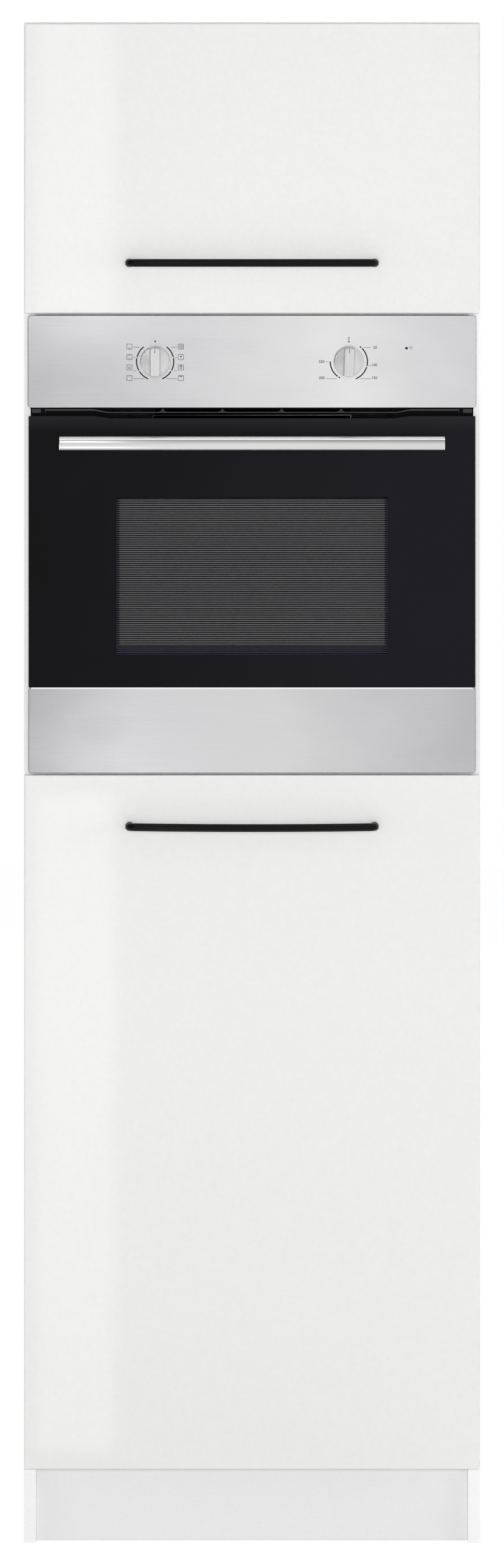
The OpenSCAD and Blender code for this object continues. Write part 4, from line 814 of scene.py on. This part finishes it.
def tubeLoop(title, finish, width, height, corner, tube, centre, turn=0.0, squash=1.0, bends=8,
             sides=14):
    # a tube that follows a rectangle with bent corners; turn stands it up
    tree, sockets, given = newTree(title, width=width, height=height, corner=corner, tube=tube,
                                   centre=centre, finish=finish)
    loop = addNode(tree, "GeometryNodeCurvePrimitiveQuadrilateral", {
        "Width": given["width"], "Height": given["height"]})
    bent = addNode(tree, "GeometryNodeFilletCurve", {
        "Curve": loop.outputs[0], "Radius": given["corner"], "Count": bends}, mode="POLY")
    path = addNode(tree, "GeometryNodeTransform", {
        "Geometry": bent.outputs[0], "Rotation": (math.radians(turn), 0, 0),
        "Translation": given["centre"]})
    ring = addNode(tree, "GeometryNodeCurvePrimitiveCircle", {
        "Resolution": sides, "Radius": given["tube"]})
    flat = addNode(tree, "GeometryNodeTransform", {
        "Geometry": ring.outputs[0], "Scale": (1, squash, 1)})
    solid = addNode(tree, "GeometryNodeCurveToMesh", {
        "Curve": path.outputs[0], "Profile Curve": flat.outputs[0]})
    return closeTree(tree, sockets, solid.outputs[0], given["finish"])


# a soft tube that follows the mouth, on a flat foot
sealTube = {"wall": 4, "corner": 13}
sealLow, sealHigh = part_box("door_seal")


def makeSeal(sizes):
    wall = mm(sizes["wall"])
    size = sealHigh - sealLow
    return tubeLoop("sealTree", rubber, size.x - 2 * wall, size.z - 2 * wall,
                    mm(sizes["corner"]), wall, (sealLow + sealHigh) / 2, turn=90,
                    squash=size.y / 2 / wall, bends=10, sides=16)


settle("doorSeal", makeSeal(sealTube), rubber, bodyOf("door_seal"), "seal_rubber",
       "door_seal", angle=60)

rackWire = {"frame": 6, "rod": 3, "pitch": 21, "count": 20, "corner": 14}
rackLow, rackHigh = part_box("wire_rack")


def makeRack(sizes):
    # rods from front to back that lie on a bent frame
    r, rod = mm(sizes["frame"]) / 2, mm(sizes["rod"]) / 2
    size = rackHigh - rackLow
    depth = size.y - 2 * r
    centre = Vector((rackLow.x + size.x / 2, rackLow.y + size.y / 2, rackLow.z + r))
    count, pitch = sizes["count"], mm(sizes["pitch"])
    rods = rodRow("rackRodTree", rackChrome,
                  Vector((-(count - 1) / 2 * pitch, rackLow.y + r, centre.z + rod)),
                  Vector((pitch, 0, 0)), count, Vector((0, depth, 0)), rod, 10)
    border = tubeLoop("rackFrameTree", rackChrome, size.x - 2 * r, depth, mm(sizes["corner"]),
                      r, centre)
    return joined(rods, border)


settle("wireRack", makeRack(rackWire), rackChrome, bodyOf("wire_rack"), "rack_chrome",
       "wire_rack", angle=50)

ventShape = {
    "edge": 1.3, "bandFoot": 2.9, "bandHead": 5.0, "inX": 190, "slope": 18, "outX": 271,
    "roof": 1.2, "roofBack": 4, "pitch": 78, "count": 4, "ribTop": 0.9, "ribFoot": 6,
    "ribBack": 1, "blockIn": 277.2, "blockOut": 288.7, "blockHead": 5.1, "lap": 0.1,
    "wall": 0.8, "web": 1,
}
ventLow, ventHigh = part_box("vent_grille")


def ribOutline(sizes, height):
    # a finger that flares to its foot
    flank = []
    for k in range(9):
        t = k / 8
        width = sizes["ribTop"] + (sizes["ribFoot"] - sizes["ribTop"]) * (1 - t) ** 3
        flank.append((mm(width), height * t))
    return flank + [(-x, z) for x, z in reversed(flank)]


def makeVent(sizes):
    # one edge runs from end to end, lower in the middle where the glass dips
    foot, front, back = ventLow.z, ventLow.y, ventHigh.y
    inX, outX = mm(sizes["inX"]), mm(sizes["outX"])
    slopeX = inX + mm(sizes["slope"])
    low = [(-outX, mm(sizes["bandFoot"])), (-slopeX, mm(sizes["bandFoot"])), (-inX, 0),
           (inX, 0), (slopeX, mm(sizes["bandFoot"])), (outX, mm(sizes["bandFoot"]))]
    high = [(outX, mm(sizes["bandHead"])), (slopeX, mm(sizes["bandHead"])),
            (inX, mm(sizes["edge"])), (-inX, mm(sizes["edge"])),
            (-slopeX, mm(sizes["bandHead"])), (-outX, mm(sizes["bandHead"]))]
    build = bmesh.new()
    addSlab(build, [(x, foot + z) for x, z in low + high], front, back, 1)
    roofFoot = ventHigh.z - mm(sizes["roof"])
    halfWidth = ventHigh.x
    ribFront = front + mm(sizes["ribBack"])
    addPlate(build, -halfWidth, halfWidth, roofFoot, ventHigh.z, front + mm(sizes["roofBack"]),
             back)
    for side in (-1, 1):
        # an end block, a wall at the band's end, and a dark web behind it all
        for inner, outer, head, start, material in (
                (mm(sizes["blockIn"]), mm(sizes["blockOut"]), foot + mm(sizes["blockHead"]),
                 ribFront, 2),
                (outX, outX + mm(sizes["wall"]), roofFoot, ribFront, 1),
                (slopeX, halfWidth, roofFoot, back - mm(sizes["web"]), 0)):
            addPlate(build, *sorted((side * inner, side * outer)), foot, head, start, back,
                     material)
    plates = meshFrom(build)
    rib = bmesh.new()
    addSlab(rib, ribOutline(sizes, roofFoot - foot - mm(sizes["edge"]) + 2 * mm(sizes["lap"])),
            0, back - ribFront, 1)
    places = [((k - (sizes["count"] - 1) / 2) * mm(sizes["pitch"]), ribFront,
               foot + mm(sizes["edge"] - sizes["lap"])) for k in range(sizes["count"])]
    ribs = scatterShape("ventRibTree", ventEdge, meshFrom(rib), places)
    ribs.polygons.foreach_set("material_index", [1] * len(ribs.polygons))
    return joined(plates, ribs)


settle("ventGrille", makeVent(ventShape), [ventPlastic, ventEdge, ventBlock], "carcass",
       "black_plastic", "vent_grille")
print("seal, rack and vent made")

# control panel and its prints

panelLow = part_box("control_panel")[0]
stripLow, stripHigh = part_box("oven_door_strip")


sheetFold = {"ease": 0.7, "reach": 4, "front": 0.2, "turned": 0.3}


def frontOutline(low, high):
    # picks the edges that run round a sheet's front face, not those of its holes
    def pick(edge):
        a, b = (v.co for v in edge.verts)
        if max(a.y, b.y) > low.y + mm(0.05):
            return False
        reach = mm(sheetFold["reach"])
        return all(p.x < low.x + reach or p.x > high.x - reach or p.z < low.z + reach
                   or p.z > high.z - reach for p in (a, b))
    return pick


for name, finish in (("control_panel", panelSteel), ("oven_door_strip", stripSteel)):
    low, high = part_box(name)
    mesh = easedSkin(skinOf(name), sheetFold["ease"], steps=3, where=frontOutline(low, high))
    # painted shade: the fold is darkened where it turns away, except along the strip's head
    for face in mesh.polygons:
        turned = face.normal.z if name == "control_panel" else -face.normal.z
        dark = (face.normal.y < -sheetFold["front"]
                and max(abs(face.normal.x), turned) > sheetFold["turned"])
        face.material_index = 1 if dark else 0
    settle(camel(name), mesh, [finish, foldShade], bodyOf(name), "stainless", name)

# a painted highlight along the head of the door's strip
stripTrim = {"height": 2.1, "inset": 3.5, "proud": 0.12, "sunk": 0.5}


def makeStripHighlight(sizes):
    # a painted highlight: a bright strip along the sheet's head
    build = bmesh.new()
    inset = mm(sizes["inset"])
    addPlate(build, stripLow.x + inset, stripHigh.x - inset, stripHigh.z - mm(sizes["height"]),
             stripHigh.z, stripLow.y - mm(sizes["proud"]), stripLow.y + mm(sizes["sunk"]))
    return meshFrom(build)


settle("stripTrim", makeStripHighlight(stripTrim), highlightSteel, "oven_door", "stainless")

prints = {
    "proud": 0.06, "sunk": 0.3, "arcRadius": 24.4, "arcWidth": 1.6, "markWidth": 2.6,
    "markHeight": 3, "iconSize": 7.4, "iconLine": 0.55, "iconSide": 33.7, "leader": 0.5,
    "digit": 3.5, "letterWeight": 0.06,
    # the function knob: bars in degrees each way from the top, leaders as rise and two ends
    "stopMark": 26,
    "stopBars": ((38, 76.5), (79.5, 118.5), (121.5, 158)),
    "stopLeaders": ((18.9, 20.6, 28.6), (5.0, 26.4, 28.6), (-12.3, 24.8, 28.6),
                    (-22.6, 14.5, 28.6)),
    "iconRises": (19.6, 5.8, -7.8, -21.6),
    "icons": ((("bottom",), ("top", "bottom"), ("fan",), ("dotted",)),
              (("ring",), ("lamp",), ("thick", "fan"), ("thick",))),
    # the thermostat: bars clockwise from the top, leaders, and numbers with their places
    "scaleMark": 25.6,
    "scaleBars": ((36, 42), (45, 104), (107, 158), (208, 213.5), (216.5, 270)),
    "scaleLeaders": ((18.3, 18.5, 29), (-5.4, 25.6, 29.3), (-22.5, 15, 29.3),
                     (-22.5, -16, -30.4), (-0.3, -26, -30)),
    "numbers": (("0", 0, 30.2), ("50", 34.4, 18.3), ("100", 33.5, -4.6),
                ("150", 33.5, -21.5), ("200", -35.5, -21.5), ("250", -35.8, -0.3)),
    "unitX": 208.2, "unitRise": 78.2, "unitShare": 0.9,
}
# the marks in an icon, as shares of half its size; dots and lines in millimetres
iconShape = {
    "corner": 0.3, "innerCorner": 0.22, "bar": 0.5, "barRise": 0.55, "thin": 0.5, "thick": 1.0,
    "dots": 4, "dot": 0.32, "dotPitch": 0.33, "dotRise": 0.5,
    "blades": 5, "blade": 0.55, "fanReach": 0.36, "fanDrop": 0.12,
    "ringOut": 0.66, "ringIn": 0.5, "ringBar": 0.3,
    "lampRise": 0.25, "lampDot": 1.0, "footDrop": 0.35, "footDot": 0.6,
}
functionCentre = (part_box("function_knob")[0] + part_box("function_knob")[1]) / 2
thermostatCentre = (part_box("thermostat_knob")[0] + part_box("thermostat_knob")[1]) / 2
functionX, thermostatX, knobZ = functionCentre.x, thermostatCentre.x, functionCentre.z
printFront = panelLow.y - mm(prints["proud"])
printBack = panelLow.y + mm(prints["sunk"])


def arcPiece(build, centre, radius, width, start, end):
    # a bent bar; its angles are clockwise from the top, in degrees
    steps = max(3, int(abs(end - start) / 3))
    outline = []
    for r in (radius + width / 2, radius - width / 2):
        side = [(centre[0] + mm(r) * math.sin(math.radians(start + (end - start) * k / steps)),
                 centre[1] + mm(r) * math.cos(math.radians(start + (end - start) * k / steps)))
                for k in range(steps + 1)]
        outline += side if r > radius else list(reversed(side))
    addSlab(build, outline, printFront, printBack)


def barPiece(build, x0, x1, middle, height, material=0):
    addPlate(build, x0, x1, middle - height / 2, middle + height / 2, printFront, printBack,
             material)


def circleOutline(x, z, radius, steps):
    return [(x + radius * math.cos(2 * math.pi * k / steps),
             z + radius * math.sin(2 * math.pi * k / steps)) for k in range(steps)]


def dotPiece(build, x, z, radius, steps=8):
    addSlab(build, circleOutline(x, z, mm(radius), steps), printFront, printBack)


def bandPiece(build, outer, inner, material=0):
    # a closed band between two outlines with as many points
    for k in range(len(outer)):
        after = (k + 1) % len(outer)
        addSlab(build, [outer[k], outer[after], inner[after], inner[k]], printFront, printBack,
                material)


def leaderPieces(build, x, leaders, sizes, side=1):
    for rise, inner, outer in leaders:
        ends = sorted((x + side * mm(inner), x + side * mm(outer)))
        barPiece(build, *ends, knobZ + mm(rise), mm(sizes["leader"]), 1)


def markPiece(build, x, z, sizes):
    w, h = mm(sizes["markWidth"]) / 2, mm(sizes["markHeight"]) / 2
    addSlab(build, [(x - w, z + h), (x + w, z + h), (x, z - h)], printFront, printBack)


def iconPiece(build, x, z, sizes, marks):
    # a rounded frame with simple marks for what the oven heats with
    half, line = mm(sizes["iconSize"]) / 2, mm(sizes["iconLine"])
    shape = iconShape
    bandPiece(build, roundedOutline(2 * half, 2 * half, half * shape["corner"], (x, z), 4),
              roundedOutline(2 * half - 2 * line, 2 * half - 2 * line,
                             half * shape["innerCorner"], (x, z), 4), 1)
    for kind in marks:
        if kind in ("top", "bottom", "thick"):
            rise = half * shape["barRise"] * (-1 if kind == "bottom" else 1)
            barPiece(build, x - half * shape["bar"], x + half * shape["bar"], z + rise,
                     mm(shape["thick" if kind == "thick" else "thin"]))
        elif kind == "dotted":
            for k in range(shape["dots"]):
                dotPiece(build, x + (k - (shape["dots"] - 1) / 2) * half * shape["dotPitch"],
                         z + half * shape["dotRise"], shape["dot"])
        elif kind == "fan":
            reach = half * shape["fanReach"]
            for k in range(shape["blades"]):
                turn = math.radians(90 + 360 / shape["blades"] * k)
                dotPiece(build, x + reach * math.cos(turn),
                         z - half * shape["fanDrop"] + reach * math.sin(turn), shape["blade"])
        elif kind == "ring":
            bandPiece(build, circleOutline(x, z, half * shape["ringOut"], 16),
                      circleOutline(x, z, half * shape["ringIn"], 16))
            barPiece(build, x - half * shape["ringBar"], x + half * shape["ringBar"], z,
                     mm(shape["thin"]))
        elif kind == "lamp":
            dotPiece(build, x, z + half * shape["lampRise"], shape["lampDot"], 12)
            dotPiece(build, x, z - half * shape["footDrop"], shape["footDot"])


def textMesh(words, height, x, z):
    # flat letters made a mesh before they are placed
    curve = bpy.data.curves.new("letters", "FONT")
    curve.body = words
    curve.align_x, curve.align_y = "CENTER", "CENTER"
    curve.size = mm(height) / 0.7      # a digit is 0.7 of the letters' size
    curve.offset = mm(prints["letterWeight"])
    curve.extrude = (printBack - printFront) / 2
    curve.resolution_u = 3
    holder = bpy.data.objects.new("letters", curve)
    scene.collection.objects.link(holder)
    graph = bpy.context.evaluated_depsgraph_get()
    mesh = bpy.data.meshes.new_from_object(holder.evaluated_get(graph))
    bpy.data.objects.remove(holder)
    mesh.transform(Matrix.Translation((x, (printFront + printBack) / 2, z))
                   @ Matrix.Rotation(math.radians(90), 4, "X"))
    return mesh


def makePrints(sizes):
    build = bmesh.new()
    # the function knob: a mark, three bars each side, and an icon for each stop
    markPiece(build, functionX, knobZ + mm(sizes["stopMark"]), sizes)
    for side in (-1, 1):
        for start, end in sizes["stopBars"]:
            arcPiece(build, (functionX, knobZ), sizes["arcRadius"], sizes["arcWidth"],
                     side * start, side * end)
    for side, icons in zip((-1, 1), sizes["icons"]):
        for rise, marks in zip(sizes["iconRises"], icons):
            iconPiece(build, functionX + side * mm(sizes["iconSide"]), knobZ + mm(rise), sizes,
                      marks)
        leaderPieces(build, functionX, sizes["stopLeaders"], sizes, side)
    # the thermostat: a mark, its scale and the lines to the numbers
    markPiece(build, thermostatX, knobZ + mm(sizes["scaleMark"]), sizes)
    for start, end in sizes["scaleBars"]:
        arcPiece(build, (thermostatX, knobZ), sizes["arcRadius"], sizes["arcWidth"], start, end)
    leaderPieces(build, thermostatX, sizes["scaleLeaders"], sizes)
    flat = meshFrom(build)
    letters = [textMesh(word, sizes["digit"], thermostatX + mm(x), knobZ + mm(z))
               for word, x, z in sizes["numbers"]]
    letters.append(textMesh("°C", sizes["digit"] * sizes["unitShare"], mm(sizes["unitX"]),
                            panelLow.z + mm(sizes["unitRise"])))
    return joined(flat, *letters)


settle("panelPrints", makePrints(prints), [printInk, thinInk], "carcass", "black_plastic")
print("control panel printed")

# knobs

knobShape = {
    "skirt": 39.5, "skirtDepth": 6, "rim": 1.4, "grip": 14.4, "depth": 23, "ease": 0.8,
    "topSlope": 2.6, "footSlope": 0.6, "sideDraft": 1.1, "line": 0.8, "lineLength": 5,
    "lineEnd": 0.9, "lineSunk": 0.5, "lipWidth": 0.9, "lipDrop": 0.3, "fall": 2.6, "hub": 1,
    "backEase": 0.4, "gripOver": 0.2, "gripRoot": 0.6, "spindle": 3, "spindleLength": 14.4,
    "bends": 8,
    # how far each stands off its mark, in degrees
    "tilts": {"function_knob": 0.0, "thermostat_knob": 2.5},
}


def gripOutline(sizes, draft=0.0, drop=0.0, lift=0.0):
    # straight flanks between two bent ends
    half = mm(sizes["grip"]) / 2 - mm(draft)
    radius = mm(sizes["skirt"]) / 2 + mm(sizes["gripOver"])
    reach = math.asin(half / radius)
    turns = [-reach + 2 * reach * k / sizes["bends"] for k in range(sizes["bends"] + 1)]
    head = [(radius * math.sin(turn), radius * math.cos(turn) - mm(drop)) for turn in turns]
    foot = [(-radius * math.sin(turn), mm(lift) - radius * math.cos(turn)) for turn in turns]
    return head + foot


def makeKnob(node, sizes):
    low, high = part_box(node)
    cx, cz = (low.x + high.x) / 2, (low.z + high.z) / 2
    back = low.y + mm(sizes["depth"])
    r, t, rim = mm(sizes["skirt"]) / 2, mm(sizes["skirtDepth"]), mm(sizes["rim"])
    skirt = bmesh.new()
    # the skirt falls away from its middle, so each side of it looks another way
    edge = back - t + mm(sizes["fall"])
    lip, drop, ease = mm(sizes["lipWidth"]), mm(sizes["lipDrop"]), mm(sizes["backEase"])
    hub = mm(sizes["hub"])
    addLathe(skirt, [(0, back), (r - ease, back), (r, back - ease), (r, edge + rim),
                     (r - rim * 0.4, edge + rim * 0.35), (r - rim, edge),
                     (r - rim - lip, edge), (r - rim - lip * 1.2, edge + drop),
                     (hub, back - t + drop), (0, back - t + drop)], (0, 0), 72)
    spindle, spindleEnd = mm(sizes["spindle"]), back + mm(sizes["spindleLength"])
    addLathe(skirt, [(0, back - hub), (spindle, back - hub), (spindle, spindleEnd),
                     (0, spindleEnd)], (0, 0), 24)
    disc = meshFrom(skirt)
    grip = bmesh.new()
    base = gripOutline(sizes)
    face = gripOutline(sizes, sizes["sideDraft"], sizes["topSlope"], sizes["footSlope"])
    rings = [[grip.verts.new((x, y, z)) for x, z in outline]
             for outline, y in ((base, back - t + mm(sizes["gripRoot"])), (face, low.y))]
    count = len(base)
    for k in range(count):
        after = (k + 1) % count
        grip.faces.new((rings[0][k], rings[0][after], rings[1][after], rings[1][k]))
    grip.faces.new(rings[0])
    grip.faces.new(rings[1])
    bmesh.ops.recalc_face_normals(grip, faces=grip.faces)
    handle = easedSkin(grip, sizes["ease"], steps=3,
                       where=lambda edge: all(v.co.y < low.y + mm(0.1) for v in edge.verts))
    inlay = bmesh.new()
    w = mm(sizes["line"]) / 2
    top = r - mm(sizes["topSlope"] + sizes["lineEnd"])
    addPlate(inlay, -w, w, top - mm(sizes["lineLength"]), top, low.y - mm(0.001),
             low.y + mm(sizes["lineSunk"]), 1)
    mesh = joined(disc, handle, meshFrom(inlay))
    tilt = math.radians(sizes["tilts"][node])
    mesh.transform(Matrix.Translation((cx, 0, cz)) @ Matrix.Rotation(tilt, 4, "Y"))
    return settle(camel(node), mesh, [knobFace, thinInk], bodyOf(node), "stainless", node)


for name in knobShape["tilts"]:
    makeKnob(name, knobShape)
print("knobs made")

# oven door

doorGlass = {
    "windowSide": 178, "windowFoot": 1169.3, "windowHead": 1376.8, "ease": 0.5,
    # the head dips in the middle, where the vent's edge comes lower
    "dip": 3, "dipHalf": 185, "slope": 22,
}
glassLow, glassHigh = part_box("oven_door_glass")


def paneWithWindow(build, outline, window, front, back):
    # a pane whose window has faces of its own, in the second finish;
    # the outline starts with its two lower corners and ends at its upper left one
    x0, z0, x1, z1 = window
    lowLeft, lowRight, *top = outline
    highRight, highLeft = top[0], top[-1]
    parts = [([lowLeft, lowRight, (x1, z0), (x0, z0)], 0),
             ([lowLeft, (x0, z0), (x0, z1), highLeft], 0),
             ([lowRight, highRight, (x1, z1), (x1, z0)], 0),
             ([(x0, z1), (x1, z1), *top], 0),
             ([(x0, z0), (x1, z0), (x1, z1), (x0, z1)], 1)]
    for y in (front, back):
        for corners, number in parts:
            face = build.faces.new([build.verts.new((x, y, z)) for x, z in corners])
            face.material_index = number
    for (xa, za), (xb, zb) in zip(outline, outline[1:] + outline[:1]):
        build.faces.new([build.verts.new(p) for p in (
            (xa, front, za), (xb, front, zb), (xb, back, zb), (xa, back, za))])


def makeOuterGlass(sizes):
    low, high = glassLow, glassHigh
    dip, half, slope = mm(sizes["dip"]), mm(sizes["dipHalf"]), mm(sizes["slope"])
    outline = [(low.x, low.z), (high.x, low.z), (high.x, high.z), (half + slope, high.z),
               (half, high.z - dip), (-half, high.z - dip), (-half - slope, high.z),
               (low.x, high.z)]
    window = (-mm(sizes["windowSide"]), mm(sizes["windowFoot"]), mm(sizes["windowSide"]),
              mm(sizes["windowHead"]))
    build = bmesh.new()
    paneWithWindow(build, outline, window, low.y, high.y)
    mesh = easedSkin(closeUp(build), sizes["ease"], where=isCorner)
    return settle("doorOuterGlass", mesh, [borderGlass, windowGlass], "oven_door",
                  "door_glass", "oven_door_glass")


makeOuterGlass(doorGlass)

# fine lines printed across the window, on the back of the glass
windowLines = {"pitch": 2.82, "count": 68, "line": 1.35, "side": 4, "foot": 14, "thick": 0.1,
               "behind": 0.02, "footCount": 5, "footLift": 0.4}


def makeLines(sizes, title, ink, x0, x1, rise, count):
    # bars from x0 to x1, the first of them centred at a height above the window's foot
    start = Vector((mm(x0 + x1) / 2, glassHigh.y + mm(sizes["thick"] / 2 + sizes["behind"]),
                    mm(doorGlass["windowFoot"] + rise)))
    return barRow(title, ink, start, Vector((0, 0, mm(sizes["pitch"]))), count,
                  Vector((mm(x1 - x0), mm(sizes["thick"]), mm(sizes["line"]))))


windowEnd = doorGlass["windowSide"]
lineEnd = windowEnd - windowLines["side"]
lineFoot, lineCount = windowLines["foot"], windowLines["count"]
settle("windowLines", makeLines(windowLines, "lineTree", lineInk, -lineEnd, lineEnd, lineFoot,
                                lineCount), lineInk, "oven_door", "door_glass")
# dimmer lines at both sides and at the foot
footStart = lineFoot - windowLines["footCount"] * windowLines["pitch"] + windowLines["footLift"]
dimLines = [makeLines(windowLines, title, dimLineInk, *values) for title, *values in (
    ("sideLineTree", -windowEnd, -lineEnd, lineFoot, lineCount),
    ("sideLineTree", lineEnd, windowEnd, lineFoot, lineCount),
    ("footLineTree", -windowEnd, windowEnd, footStart, windowLines["footCount"]))]
settle("windowDimLines", joined(*dimLines), dimLineInk, "oven_door", "door_glass")

# the inner sheet and the inner glass behind its opening
innerDoor = {"overlap": 22, "head": 22, "glass": 4, "sheet": 1, "ease": 0.4, "shortest": 20,
             "corner": 4}
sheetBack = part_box("oven_door_back")[1].y


def makeDoorBack(sizes):
    skin = skinOf("oven_door_back")
    front = sheetBack - mm(sizes["sheet"])
    # the sheet is what lies behind the glass's back face
    pane = [f for f in skin.faces if max(v.co.y for v in f.verts) <= front + mm(0.01)
            and min(v.co.y for v in f.verts) < front - mm(0.5)]
    paneVerts = list({vert: None for face in pane for vert in face.verts})
    bmesh.ops.delete(skin, geom=paneVerts, context="VERTS")
    settle("doorBackSheet", easedSkin(skin, sizes["ease"], sizes["shortest"]), blackSheet,
           "oven_door", "black_sheet", "oven_door_back")
    glass = bmesh.new()
    half = mm(doorGlass["windowSide"] + sizes["overlap"])
    z0 = mm(doorGlass["windowFoot"] - sizes["head"])
    z1 = mm(doorGlass["windowHead"] + sizes["head"])
    addSlab(glass, roundedOutline(2 * half, z1 - z0, mm(sizes["corner"]), (0, (z0 + z1) / 2)),
            front - mm(sizes["glass"]), front)
    settle("doorInnerGlass", easedSkin(glass, sizes["ease"], steps=1, where=isCorner),
           innerGlass, "oven_door", "door_glass", "oven_door_back")


makeDoorBack(innerDoor)

# the bar and its two posts
doorBar = {"ease": 1.2, "sides": 48}
barLow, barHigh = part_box("oven_handle_bar")


def makeBar(sizes):
    r = (barHigh.z - barLow.z) / 2
    half = (barHigh.x - barLow.x) / 2
    ease = mm(sizes["ease"])
    build = bmesh.new()
    profile = [(0, -half), (r - ease, -half), (r - ease * 0.3, -half + ease * 0.3),
               (r, -half + ease), (r, half - ease), (r - ease * 0.3, half - ease * 0.3),
               (r - ease, half), (0, half)]
    addLathe(build, profile, (0, 0), sizes["sides"])
    mesh = meshFrom(build)
    mesh.transform(Matrix.Translation((0, (barLow.y + barHigh.y) / 2,
                                       (barLow.z + barHigh.z) / 2))
                   @ Matrix.Rotation(math.radians(90), 4, "Z"))
    settle("doorHandleBar", mesh, barSteel, "oven_door", "stainless_bar", "oven_handle_bar")


makeBar(doorBar)
dress("oven_handle_posts", barSteel, "stainless_bar")
print("oven door made")
